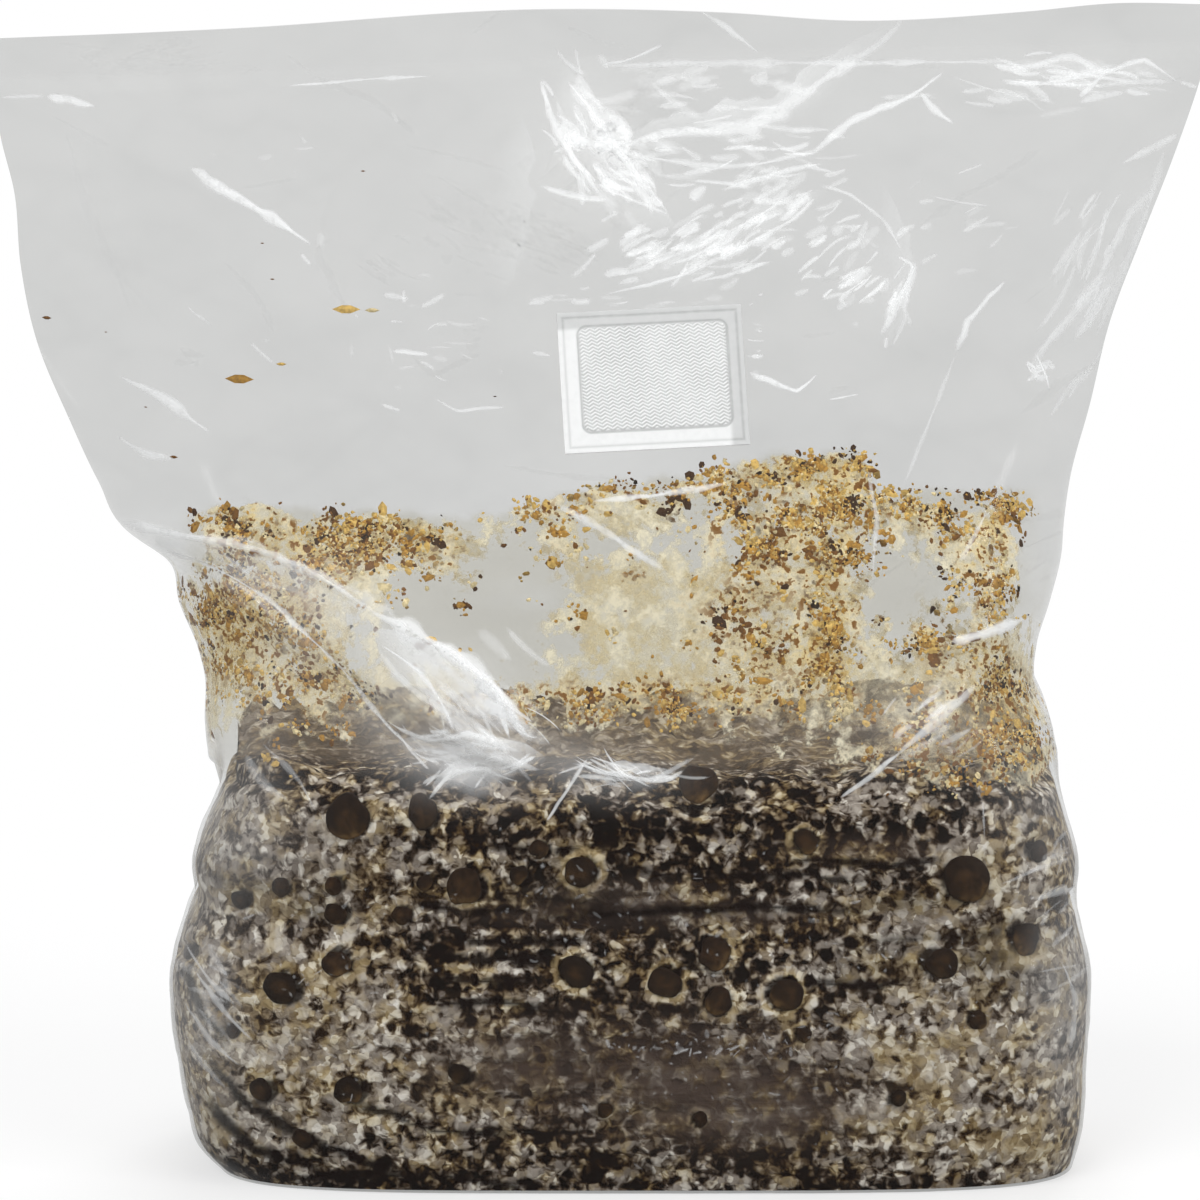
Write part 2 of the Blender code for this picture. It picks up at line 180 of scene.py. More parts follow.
# How square the block's section is, and how pointed a lens-shaped one is
BOXY = 4.4
LENS_ACROSS, LENS_DEEP = 2.2, 1.15

# Creases of the front panel, as lines across a picture 1200 wide and 1200 high: width, how white
# its painted highlight is, how proud in millimetres, and the points. The height is relief; the
# white is painted highlight where the crease catches the light
CREASES_AND_HIGHLIGHTS = [
    # the big fold from the left edge down to the block
    (46, 0.34, 0.0, [(140, 533), (230, 560), (330, 606), (420, 672), (520, 738)]),
    (38, 0.80, 0.0, [(368, 628), (438, 672), (500, 716), (532, 736)]),
    (26, 0.25, 0.0, [(110, 518), (180, 545), (260, 585)]),
    (36, 0.80, 0.0, [(396, 742), (450, 752), (500, 756), (548, 760)]),
    (20, 0.50, 0.0, [(588, 768), (630, 776), (680, 776)]),
    (30, 0.75, 0.0, [(436, 764), (476, 782), (520, 772)]),
    (24, 0.70, 0.0, [(430, 790), (470, 768), (520, 772)]),
    (9, 0.55, 1.6, [(116, 520), (172, 533), (268, 553), (324, 580), (380, 616)]),
    (15, 0.95, 2.2, [(372, 612), (440, 648), (492, 686), (524, 738)]),
    (5, 0.80, -1.2, [(160, 546), (232, 578), (272, 602), (308, 637), (340, 670), (384, 722), (424, 760)]),
    (4, 0.95, 0.8, [(380, 644), (420, 672), (440, 700), (454, 730)]),
    (7, 0.90, 1.0, [(384, 720), (430, 738), (470, 734), (520, 752)]),
    (6, 0.85, 0.8, [(428, 800), (452, 772), (484, 768), (520, 782)]),
    (9, 0.75, 0.8, [(430, 760), (480, 752), (540, 770)]),
    (4, 0.70, 0.5, [(396, 730), (412, 752), (430, 770)]),
    (4, 0.85, 0.8, [(546, 822), (566, 792), (588, 758)]),
    (6, 0.90, 0.8, [(588, 758), (626, 776), (668, 780), (684, 770)]),
    (4, 0.70, 0.5, [(590, 756), (612, 764), (632, 782)]),
    # the right fold
    (5, 0.80, 0.9, [(840, 798), (876, 772), (900, 752)]),
    (9, 0.60, 1.0, [(896, 756), (916, 738), (944, 714), (976, 684)]),
    (12, 0.90, 0.8, [(950, 642), (984, 634), (1024, 618)]),
    # over the residue
    (6, 0.80, 0.4, [(592, 501), (650, 496), (726, 484)]),
    (10, 0.60, 0.5, [(558, 506), (600, 528), (640, 556), (664, 570)]),
    (10, 0.45, 0.3, [(960, 562), (974, 536), (986, 512)]),
    (4, 0.45, 0.3, [(868, 470), (876, 520), (872, 580)]),
    # from the weld down to the patch
    (56, 0.36, 0.0, [(560, 60), (580, 120), (620, 190), (680, 240)]),
    (34, 0.32, 0.0, [(600, 150), (680, 130), (770, 118), (840, 64), (900, 20)]),
    (40, 0.28, 0.0, [(620, 290), (700, 262), (780, 216), (830, 190)]),
    (36, 0.14, 0.0, [(520, 110), (512, 200), (500, 300)]),
    (30, 0.20, 0.0, [(1156, 170), (1110, 262), (1060, 350)]),
    (20, 0.28, 0.0, [(980, 66), (1080, 72), (1180, 74)]),
    (24, 0.16, 0.0, [(880, 180), (900, 260), (884, 350)]),
    (12, 0.65, 1.4, [(600, 158), (660, 136), (752, 128), (792, 104), (840, 68), (880, 44), (904, 18)]),
    (7, 0.85, 1.0, [(812, 154), (856, 120), (912, 96), (944, 72)]),
    (10, 0.80, 1.2, [(540, 78), (552, 120), (572, 160), (600, 196)]),
    (9, 0.75, 1.0, [(566, 80), (590, 110), (622, 160), (668, 214)]),
    (7, 0.60, 0.8, [(604, 112), (626, 132), (624, 168)]),
    (6, 0.70, 0.8, [(600, 190), (640, 205), (668, 216)]),
    (6, 0.60, 0.8, [(640, 158), (700, 168), (760, 166), (820, 150)]),
    (5, 0.60, 0.6, [(720, 192), (780, 174), (824, 164)]),
    (5, 0.70, 0.8, [(600, 296), (680, 277), (740, 250), (790, 222), (816, 198)]),
    (4, 0.60, 0.6, [(640, 268), (700, 246), (750, 222), (800, 190)]),
    (3, 0.60, 0.5, [(700, 282), (740, 272), (772, 262)]),
    (6, 0.75, 0.8, [(896, 256), (912, 266), (896, 304), (880, 336)]),
    (4, 0.70, 0.5, [(840, 282), (866, 266)]),
    (4, 0.70, 0.5, [(842, 296), (868, 278)]),
    (5, 0.55, 0.7, [(820, 186), (850, 196), (884, 222), (902, 252)]),
    (6, 0.75, 0.9, [(1006, 280), (984, 302), (968, 322), (956, 352)]),
    (4, 0.35, 0.9, [(956, 352), (936, 404), (904, 484)]),
    (8, 0.85, 0.7, [(748, 372), (776, 384), (796, 392), (818, 374)]),
    (4, 0.75, 0.5, [(828, 400), (860, 394)]),
    (6, 0.60, 0.8, [(1120, 164), (1152, 148), (1178, 134)]),
    (13, 0.62, 1.0, [(1154, 190), (1132, 210), (1116, 240), (1088, 296), (1048, 340), (1032, 368)]),
    (7, 0.45, 0.6, [(1164, 150), (1142, 226), (1116, 286), (1096, 336)]),
    (5, 0.85, 0.6, [(1030, 366), (1038, 378), (1050, 376)]),
    (5, 0.70, 0.5, [(696, 8), (730, 30), (760, 54)]),
    (5, 0.70, 0.5, [(920, 92), (934, 110), (954, 124)]),
    (4, 0.50, 0.4, [(962, 232), (990, 216)]),
    (4, 0.50, 0.4, [(956, 174), (984, 164)]),
    (3, 0.45, 0.4, [(930, 196), (960, 202), (990, 206)]),
    # along the weld
    (7, 0.65, 0.4, [(600, 66), (700, 63), (860, 63), (1020, 61)]),
    (4, 0.80, 0.5, [(600, 65), (624, 61), (664, 44)]),
    (6, 0.90, 0.6, [(992, 57), (1024, 67), (1072, 57), (1104, 72), (1144, 60), (1178, 82)]),
    (5, 0.75, 0.5, [(1000, 80), (1040, 84), (1090, 76), (1140, 84)]),
    (5, 0.75, 0.5, [(1078, 98), (1098, 80), (1110, 66)]),
    (8, 0.90, 0.5, [(46, 96), (70, 100), (96, 107)]),
    (3, 0.45, 0.4, [(0, 97), (46, 96)]),
    (5, 0.80, 0.4, [(286, 86), (336, 82), (384, 78), (434, 76)]),
    (4, 0.50, 0.4, [(740, 110), (780, 108)]),
    # the left half of the headspace
    (10, 0.95, 0.9, [(190, 167), (224, 190), (264, 213), (312, 245)]),
    (4, 0.55, 0.5, [(300, 252), (312, 266)]),
    (9, 0.85, 0.8, [(120, 375), (160, 396), (210, 432)]),
    (7, 0.60, 0.5, [(118, 436), (152, 456), (174, 458)]),
    (3, 0.35, 0.4, [(186, 306), (212, 326)]),
    (3, 0.45, 0.4, [(250, 342), (274, 364)]),
    (4, 0.50, 0.4, [(382, 294), (410, 299)]),
    (4, 0.45, 0.4, [(420, 308), (446, 294)]),
    (4, 0.70, 0.5, [(392, 351), (430, 355)]),
    (4, 0.55, 0.5, [(434, 398), (458, 411), (480, 408), (506, 407)]),
    (4, 0.55, 0.4, [(380, 404), (402, 411)]),
    (3, 0.50, 0.4, [(530, 352), (552, 356)]),
    # over the block's shoulders
    (5, 0.30, 0.8, [(262, 742), (300, 780), (316, 812)]),
    (5, 0.30, 0.6, [(982, 800), (984, 840)]),
    (5, 0.28, 0.6, [(1000, 884), (1040, 868), (1074, 856)]),
    (5, 0.45, 0.6, [(186, 944), (214, 984), (236, 1006)]),
    (5, 0.50, 0.6, [(196, 970), (226, 1012), (252, 1040)]),
    (5, 0.45, 0.6, [(184, 1000), (212, 1040), (240, 1066)]),
    (5, 0.35, 0.6, [(186, 1034), (206, 1066), (228, 1090)]),
    (6, 0.45, 0.6, [(1034, 900), (1060, 890), (1078, 884)]),
    (5, 0.40, 0.6, [(1060, 960), (1074, 1000), (1070, 1050)]),
    (8, 0.35, 0.0, [(246, 754), (260, 780), (288, 800)]),
]

# Crumpled places with many short strokes of painted highlight, and small painted glints over the
# block: middle and reach, the strokes' slope in degrees, its spread, how many, their length,
# their width and how white
HIGHLIGHT_STROKES = [
    (700, 252, 90, 28, -27, 10, 76, 30, 7.0, 0.60),
    (780, 200, 66, 28, -24, 11, 46, 28, 7.0, 0.50),
    (586, 118, 26, 44, 60, 20, 36, 24, 8.0, 0.55),
    (626, 172, 46, 34, 38, 16, 40, 30, 8.0, 0.55),
    (710, 150, 90, 28, 4, 12, 40, 40, 6.0, 0.50),
    (720, 90, 100, 26, -8, 12, 18, 50, 9.0, 0.35),
    (852, 288, 18, 12, -36, 6, 10, 22, 5.0, 0.70),
    (850, 250, 60, 46, -30, 16, 34, 20, 6.0, 0.45),
    (896, 300, 14, 34, 108, 12, 12, 28, 7.0, 0.65),
    (1080, 78, 80, 12, 3, 16, 34, 36, 6.0, 0.60),
    (1000, 96, 60, 14, 8, 16, 12, 36, 5.0, 0.35),
    (1086, 270, 26, 80, -58, 8, 26, 46, 5.0, 0.42),
    (1040, 372, 10, 8, 20, 60, 8, 14, 5.0, 0.80),
    (470, 756, 44, 16, 10, 24, 44, 24, 3.0, 0.70),
    (478, 690, 40, 30, 40, 8, 24, 56, 10.0, 0.40),
    (450, 742, 40, 10, 22, 24, 16, 30, 3.2, 0.95),
    (470, 768, 36, 10, -26, 16, 16, 26, 3.2, 0.95),
    (630, 772, 44, 8, 14, 18, 14, 36, 3.6, 0.90),
    (500, 720, 30, 20, 44, 10, 12, 50, 4.0, 0.90),
    (506, 712, 24, 16, 48, 12, 12, 40, 8.0, 0.45),
    (622, 774, 44, 8, 14, 16, 20, 34, 3.2, 0.60),
    (260, 585, 70, 22, 30, 8, 16, 60, 8.0, 0.25),
    (440, 350, 70, 50, 16, 34, 18, 14, 4.0, 0.35),
    (940, 215, 60, 36, -24, 26, 12, 20, 5.0, 0.30),
    (757, 340, 5, 36, 4, 14, 12, 12, 4.0, 0.45),
    (640, 300, 90, 6, -4, 9, 14, 24, 4.0, 0.35),
    (930, 724, 40, 30, -38, 9, 14, 34, 7.0, 0.40),
    (1060, 900, 16, 60, -30, 24, 14, 28, 6.0, 0.22),
    (215, 1000, 22, 50, 52, 14, 16, 34, 6.0, 0.22),
    (690, 1044, 90, 14, 0, 50, 60, 7, 3.0, 0.32),
    (700, 1100, 110, 50, 0, 60, 50, 6, 3.0, 0.24),
    (560, 910, 240, 60, -6, 40, 90, 7, 3.0, 0.24),
    (900, 1000, 140, 110, 0, 60, 80, 7, 3.0, 0.24),
    (330, 1000, 120, 110, 0, 60, 80, 7, 3.0, 0.24),
    (300, 240, 160, 120, 24, 34, 14, 14, 4.0, 0.22),
]

# Where the loose film is most crumpled: middle, reach and how much
CRUMPLED = [
    (600, 150, 80, 90, 0.9),
    (740, 220, 130, 60, 0.8),
    (880, 270, 60, 60, 0.8),
    (1080, 90, 110, 40, 0.7),
    (1100, 270, 60, 120, 0.6),
    (860, 110, 100, 60, 0.6),
    (460, 740, 90, 50, 0.9),
    (640, 780, 60, 24, 0.7),
    (330, 590, 160, 40, 0.5),
    (930, 730, 80, 60, 0.5),
]

# Pale places of the front panel, milky haze with painted sheen where the crumpled film catches the
# light: middle, reach across and up and down, and how hazy
HAZE_AND_SHEEN = [
    (520, 200, 60, 150, 0.05),
    (590, 130, 55, 75, 0.16),
    (690, 210, 110, 60, 0.06),
    (850, 100, 110, 60, 0.09),
    (1060, 78, 110, 30, 0.10),
    (880, 280, 50, 60, 0.07),
    (1090, 270, 60, 110, 0.08),
    (418, 684, 66, 44, 0.20),
    (466, 752, 72, 34, 0.42),
    (300, 638, 38, 36, 0.16),
    (374, 714, 32, 30, 0.16),
    (572, 766, 24, 22, 0.14),
    (620, 776, 60, 24, 0.12),
    (290, 580, 90, 34, 0.10),
    (930, 725, 60, 46, 0.12),
    (1040, 800, 50, 60, 0.08),
    (250, 750, 50, 80, 0.09),
    (230, 850, 50, 60, 0.10),
    (196, 1020, 36, 110, 0.17),
    (1066, 1000, 32, 120, 0.17),
    (720, 730, 160, 34, 0.05),
]

# Where the residue clings: the same, with how thick it lies
STAIN = [
    (250, 525, 50, 22, 0.8),
    (340, 545, 90, 28, 0.9),
    (430, 530, 50, 20, 0.5),
    (560, 530, 60, 45, 0.7),
    (660, 500, 80, 22, 0.7),
    (800, 475, 90, 30, 0.8),
    (620, 590, 70, 45, 0.7),
    (730, 600, 90, 70, 0.8),
    (820, 540, 60, 60, 0.7),
    (640, 640, 110, 50, 0.75),
    (800, 640, 80, 60, 0.7),
    (930, 530, 50, 40, 0.6),
    (1000, 540, 30, 60, 0.7),
    (950, 640, 70, 50, 0.62),
    (950, 730, 80, 60, 0.8),
    (1010, 720, 40, 90, 0.7),
    (250, 620, 60, 60, 0.7),
    (330, 660, 50, 70, 0.6),
    (220, 680, 40, 60, 0.7),
    (640, 700, 240, 30, 0.65),
    (420, 690, 60, 20, 0.5),
    (900, 690, 60, 26, 0.5),
    (820, 740, 60, 34, 0.28),
    (440, 560, 50, 40, 0.5),
    (300, 590, 90, 26, 0.6),
    (400, 700, 60, 40, 0.4),
]
CLEAR = [
    (500, 600, 38, 52, 0.8),
    (600, 545, 22, 20, 0.5),
    (545, 575, 26, 36, 0.5),
    (905, 585, 36, 30, 0.32),
    (700, 570, 20, 22, 0.4),
    (420, 590, 30, 26, 0.5),
    (880, 640, 26, 36, 0.35),
    (480, 655, 40, 24, 0.5),
    (1045, 560, 20, 60, 0.9),
]
# Where the crumbs lie thickest
CRUMBS = [
    (235, 522, 40, 16, 1.0),
    (340, 545, 90, 24, 1.0),
    (400, 522, 50, 10, 0.8),
    (560, 505, 40, 12, 0.5),
    (660, 488, 90, 7, 0.9),
    (800, 468, 70, 14, 1.1),
    (845, 520, 30, 50, 1.2),
    (790, 540, 54, 46, 0.7),
    (725, 520, 30, 24, 0.5),
    (740, 610, 50, 40, 0.35),
    (830, 640, 22, 50, 1.1),
    (770, 650, 50, 34, 0.5),
    (925, 512, 40, 24, 1.0),
    (1000, 520, 24, 34, 1.4),
    (996, 600, 16, 24, 1.0),
    (870, 612, 16, 14, 1.0),
    (972, 565, 18, 28, 0.7),
    (835, 672, 24, 22, 0.6),
    (925, 636, 44, 34, 0.55),
    (950, 745, 70, 46, 0.8),
    (1000, 690, 34, 54, 0.9),
    (1040, 745, 14, 26, 0.9),
    (250, 640, 60, 60, 0.6),
    (225, 600, 30, 40, 0.8),
    (320, 690, 50, 50, 0.5),
    (560, 560, 60, 60, 0.16),
    (440, 560, 40, 50, 0.16),
    (620, 702, 160, 20, 0.75),
    (720, 706, 90, 14, 0.40),
    (700, 560, 250, 110, 0.08),
    (330, 600, 130, 60, 0.16),
]

# Grey-white mycelium on the block's front face, and bare places in it
MYCELIUM = [
    (250, 900, 110, 110, 0.32),
    (330, 1060, 170, 90, 0.22),
    (230, 1080, 70, 80, 0.26),
    (250, 780, 50, 60, 0.25),
    (480, 900, 90, 40, 0.10),
    (1020, 930, 80, 100, 0.26),
    (960, 1070, 130, 80, 0.32),
    (930, 1080, 36, 34, 0.20),
    (900, 1140, 40, 24, 0.18),
    (1020, 1140, 40, 30, 0.16),
    (900, 1120, 60, 40, 0.14),
    (1050, 1060, 50, 120, 0.18),
    (500, 1000, 120, 40, 0.10),
    (440, 1130, 120, 40, 0.08),
    (690, 940, 60, 40, 0.10),
    (1020, 830, 60, 50, 0.22),
    (340, 1000, 60, 40, 0.12),
    (880, 900, 90, 70, 0.16),
    (210, 1090, 36, 80, 0.14),
    (340, 845, 60, 36, 0.16),
    (990, 940, 70, 40, 0.18),
    (1062, 1080, 30, 60, 0.12),
]
BARE = [
    (640, 830, 260, 50, 0.13),
    (620, 910, 220, 40, 0.11),
    (700, 1080, 150, 80, 0.06),
    (860, 850, 120, 50, 0.02),
    (460, 955, 130, 24, 0.20),
    (640, 960, 200, 24, 0.08),
    (560, 1180, 300, 20, 0.15),
    (260, 1150, 60, 40, 0.12),
    (300, 745, 70, 30, 0.15),
    (850, 830, 150, 36, 0.26),
    (925, 810, 60, 26, 0.16),
    (690, 865, 50, 24, 0.10),
    (640, 930, 60, 30, 0.16),
    (466, 1010, 90, 30, 0.22),
    (470, 1066, 60, 34, 0.14),
    (470, 1150, 90, 30, 0.18),
]
# Tan clumps in the mycelium
TAN = [
    (930, 1070, 36, 30, 1.0),
    (896, 1130, 40, 26, 0.9),
    (1020, 1144, 40, 26, 0.9),
    (1000, 1040, 40, 30, 0.6),
    (330, 1060, 40, 30, 0.5),
    (250, 1080, 40, 24, 0.6),
    (420, 1070, 50, 16, 0.5),
    (560, 872, 50, 24, 0.5),
    (700, 960, 60, 26, 0.5),
]
# Creases in the block's face, painted dark as the shade in them: width and the points, in the picture
SHADED_CREASES = [
    (7, [(190, 1040), (240, 1100), (320, 1150), (430, 1186)]),
    (6, [(196, 1090), (250, 1150), (330, 1178)]),
    (6, [(330, 1096), (420, 1130), (520, 1140)]),
    (7, [(400, 952), (470, 960), (560, 964), (640, 974)]),
    (6, [(410, 976), (480, 984), (540, 980)]),
    (5, [(440, 938), (520, 944), (600, 940)]),
    (5, [(620, 962), (700, 972), (760, 976)]),
    (6, [(760, 978), (860, 988), (930, 982)]),
    (6, [(540, 920), (640, 914), (760, 908), (900, 912)]),
    (4, [(600, 868), (700, 880), (800, 876), (900, 886)]),
    (5, [(470, 846), (560, 852), (640, 840)]),
    (5, [(780, 860), (880, 866), (960, 860)]),
    (5, [(420, 1008), (500, 1004), (560, 1010)]),
    (6, [(250, 1180), (420, 1176), (560, 1190)]),
    (5, [(180, 960), (200, 1010), (230, 1050)]),
    (4, [(400, 905), (470, 912), (540, 908)]),
]

# Smooth dark places of the front face
CALM = [
    (700, 1080, 130, 55, 1.0),
    (640, 915, 170, 14, 0.7),
    (760, 1120, 90, 30, 0.7),
    (510, 1066, 80, 40, 0.75),
    (620, 895, 90, 14, 0.6),
    (870, 850, 80, 16, 0.5),
]

# Kernels at the block's front face: place in the picture, diameter in millimetres, and how pale
# the mycelium round them is
KERNELS = [
    (346, 817, 11.2, 0.35),
    (421, 814, 8.4, 0.4),
    (466, 886, 9.4, 0.6),
    (583, 872, 8.6, 1.0),
    (696, 784, 9.6, 0.9),
    (808, 841, 6.8, 0.9),
    (968, 881, 12.4, 0.2),
    (940, 964, 8.6, 0.5),
    (668, 982, 8.6, 1.1),
    (716, 952, 8.4, 1.1),
    (574, 972, 8.6, 0.9),
    (787, 994, 9.0, 0.9),
    (720, 1003, 7.6, 0.6),
    (281, 988, 9.0, 0.5),
    (336, 962, 7.6, 0.4),
    (333, 884, 4.6, 0.3),
    (278, 888, 5.0, 0.3),
    (424, 882, 4.2, 0.3),
    (238, 900, 5.4, 0.3),
    (350, 1092, 7.6, 0.3),
    (262, 1092, 6.4, 0.2),
    (216, 1002, 4.6, 0.2),
    (336, 914, 6.0, 0.5),
    (1028, 938, 8.4, 0.4),
    (400, 916, 5.4, 0.4),
    (520, 878, 5.0, 0.2),
    (806, 1036, 4.0, 0.6),
    (1040, 850, 6.0, 0.2),
    (540, 850, 5.0, 0.5),
    (700, 1120, 4.0, 0.5),
    (460, 1076, 5.4, 0.3),
    (604, 1110, 4.0, 0.3),
    (1064, 900, 5.4, 0.2),
    (186, 952, 4.2, 0.2),
    (230, 1030, 4.0, 0.2),
    (300, 1140, 5.0, 0.2),
    (980, 1020, 5.0, 0.3),
    (900, 1100, 4.4, 0.2),
]

# The residue's upper edge: places across the picture, and how far down it the edge lies
RESIDUE_EDGE = [
    (180, 520),
    (210, 505),
    (260, 506),
    (330, 512),
    (400, 510),
    (470, 520),
    (520, 505),
    (600, 486),
    (700, 474),
    (770, 452),
    (860, 452),
    (880, 490),
    (960, 492),
    (1040, 484),
]

# Tones of crumbs as linear colours, and how common each is
CRUMB_TONES = [
    (0.80, 0.53, 0.155),
    (0.92, 0.76, 0.42),
    (0.54, 0.29, 0.055),
    (0.21, 0.090, 0.018),
    (0.050, 0.021, 0.006),
    (0.016, 0.008, 0.003),
]
CRUMB_SHARES = [0.26, 0.18, 0.27, 0.19, 0.07, 0.03]

# Lone specks high on the film: place in the picture, about half its length in millimetres, tone
SPECKS = [
    (46, 318, 1.4, 3),
    (239, 379, 3.6, 2),
    (238, 379, 1.9, 3),
    (346, 309, 3.4, 0),
    (372, 310, 1.8, 1),
    (173, 457, 1.2, 3),
    (281, 364, 1.3, 0),
    (272, 279, 0.6, 3),
    (363, 171, 0.6, 3),
    (146, 407, 0.5, 3),
    (262, 243, 0.5, 3),
    (106, 332, 0.4, 3),
    (495, 396, 0.5, 4),
]

# The film's relief: random seeds of the two panels, heights in millimetres between which it
# comes off the block and its haze clears, and in metres how it starts beyond the patch's edge
# and at the bag's sides, how deep the hazy rim is, the weld's edge and the bottom's crinkles
FILM_SEEDS = {-1: 11, 1: 47}
FILM_LOOSENS = (105, 150)
HAZE_CLEARS = (112, 150)
PATCH_FREES = (0.0005, 0.006)
SIDE_FADE = 0.012
RIM_DEPTH = 0.024
WELD_EDGE = (0.0015, 0.0028)
BOTTOM_CRINKLE = 0.0006

# How places in the picture are found on the film: from every COARSE-th point, AT_ONCE places
# together, in SEARCH_STEPS steps, and missed when more than FILM_MISS away
COARSE = 6
AT_ONCE = 4000
SEARCH_STEPS = 12
FILM_MISS = 1.5

# Across a crease's painted highlight: places from side to side, and how white it is there
EVEN_SIDES = np.array([-1.0, -0.5, 0.0, 0.5, 1.0]), np.array([0.0, 0.8, 1.0, 0.8, 0.0])
CRISP_SIDE = np.array([-1.0, -0.88, -0.4, 0.3, 1.0]), np.array([0.0, 1.0, 0.75, 0.45, 0.0])

# The block's face: the radius of its girth in millimetres, and in metres its inset, its lumps,
# folds and dishes, its rounded and sunken top, how far from the middle its relief calms down,
# and how far forward its front ends
GIRTH_RADIUS = 95
SHOULDER_DROP = 0.002
FACE_INSET = 0.0003
LUMP_DEPTH = 0.0022
FOLD_DEPTH = 0.0014
KERNEL_DISH = 0.0016
ROUND_TOP = 0.006
SUNK_TOP = 0.0065
CALM_SIDES = (0.08, 0.115)
FRONT_ENDS = (-0.030, -0.045)

# Kernels: the grid of places for them, how many at the back, their size as a share of the
# diameter, the points of a ring, the greatest rise in metres, the rings' radii as shares of the
# kernel's, their heights as shares of its rise, and the colours, the lighter one painted on
# each kernel's lit side as a highlight
KERNEL_LOW = 0.004
KERNEL_ROWS, KERNEL_COLUMNS = 110, 240
BACK_KERNELS = 34
KERNEL_SIZE = 0.95
KERNEL_AROUND = 28
KERNEL_RISE = 0.0013
KERNEL_RADII = np.array([0.0, 0.2, 0.4, 0.58, 0.72, 0.84, 0.93, 1.0, 1.05, 1.08])
KERNEL_DOME = np.array([0.0, -0.01, -0.04, -0.08, -0.13, -0.19, -0.26, -0.36, -0.60, -1.3])
KERNEL_BROWN = np.array([0.022, 0.011, 0.005])
KERNEL_LIT_SIDE = np.array([0.20, 0.115, 0.045])
KERNEL_CROWN = np.array([0.030, 0.016, 0.006])

# Crumbs: their usual and largest size and their greatest thickness in metres, and the corners
# of one. A lone speck is stretched more, and its size is its half length over SPECK_SCALE
CRUMB_SIZE, CRUMB_LARGEST, CRUMB_THICK = 0.00036, 0.0015, 0.0003
CRUMB_SIDES = 6
SPECK_STRETCH = 1.9
SPECK_SCALE = 1700

# The patch's membrane, the floor, and the point that the lamps are aimed at, in metres
MEMBRANE_THICK = 0.0003
FLOOR_REACH = 3
FLOOR_HEIGHT = -0.0004
LAMP_AIM = Vector((0, 0, 0.16))


def smoothstep(low, high, value):
    """From 0 at low to 1 at high, with a soft start and a soft end."""
    share = np.clip((value - low) / (high - low), 0.0, 1.0)
    return share * share * (3 - 2 * share)


def along(table, column, place):
    """A smooth curve through one column of a table, read at places in its first column."""
    rows = np.array(table, dtype=float)
    places, values = rows[:, 0], rows[:, column]
    slopes = np.gradient(values, places)
    i = np.clip(np.searchsorted(places, place) - 1, 0, len(places) - 2)
    step = places[i + 1] - places[i]
    t = np.clip((place - places[i]) / step, 0.0, 1.0)
    return (
        (2 * t**3 - 3 * t**2 + 1) * values[i]
        + (t**3 - 2 * t**2 + t) * step * slopes[i]
        + (3 * t**2 - 2 * t**3) * values[i + 1]
        + (t**3 - t**2) * step * slopes[i + 1]
    )


def section(height):
    """The bag's cross-sections at heights: middle, reach left, right and front, and boxiness."""
    height = np.minimum(np.asarray(height, dtype=float), WELD_HEIGHT)
    half_block, half_top = BLOCK_WIDTH / 2, TOP_WIDTH / 2
    low = height <= BLOCK_HEIGHT
    b = np.clip(height / BLOCK_HEIGHT, 0, 1)
    h = np.clip((height - BLOCK_HEIGHT) / (WELD_HEIGHT - BLOCK_HEIGHT), 0, 1)
    middle = BLOCK_OFFSET * (1 - h)
    out_left, out_right = along(HEADSPACE_SECTIONS, 1, h), along(HEADSPACE_SECTIONS, 2, h)
    left = (1 - out_left) * (half_block - BLOCK_OFFSET) + out_left * half_top + middle
    right = (1 - out_right) * (half_block + BLOCK_OFFSET) + out_right * half_top - middle
    deep = along(HEADSPACE_SECTIONS, 3, h) * (BLOCK_DEPTH / 2 - FILM_WALL) + FILM_WALL
    return (
        np.where(low, BLOCK_OFFSET, middle),
        np.where(low, along(BLOCK_SECTIONS, 1, b) * half_block, left),
        np.where(low, along(BLOCK_SECTIONS, 2, b) * half_block, right),
        np.where(low, along(BLOCK_SECTIONS, 3, b) * BLOCK_DEPTH / 2, deep),
        np.where(low, 1.0, along(HEADSPACE_SECTIONS, 4, h)),
    )


def outline(height, columns, inset=0.0):
    """One panel's half of the cross-section at a height, from the left edge to the right."""
    middle, left, right, deep, boxy = (float(v) for v in section(height))
    left, right, deep = left - inset, right - inset, deep - inset
    across = LENS_ACROSS + (BOXY - LENS_ACROSS) * boxy
    power = LENS_DEEP + (BOXY - LENS_DEEP) * boxy
    angle = np.linspace(0, math.pi / 2, CURVE_STEPS)
    outward = np.cos(angle) ** (2 / across)
    outward[-1] = 0.0
    deepness = deep * np.sin(angle) ** (2 / power)
    halves = []
    for reach in (-left, right):
        x = reach * outward
        steps = np.concatenate([[0], np.cumsum(np.hypot(np.diff(x), np.diff(deepness)))])
        wanted = np.linspace(0, steps[-1], columns // 2 + 1)
        halves.append((np.interp(wanted, steps, x), np.interp(wanted, steps, deepness)))
    x = np.concatenate([halves[0][0], halves[1][0][::-1][1:]]) + middle
    return x, np.concatenate([halves[0][1], halves[1][1][::-1][1:]])


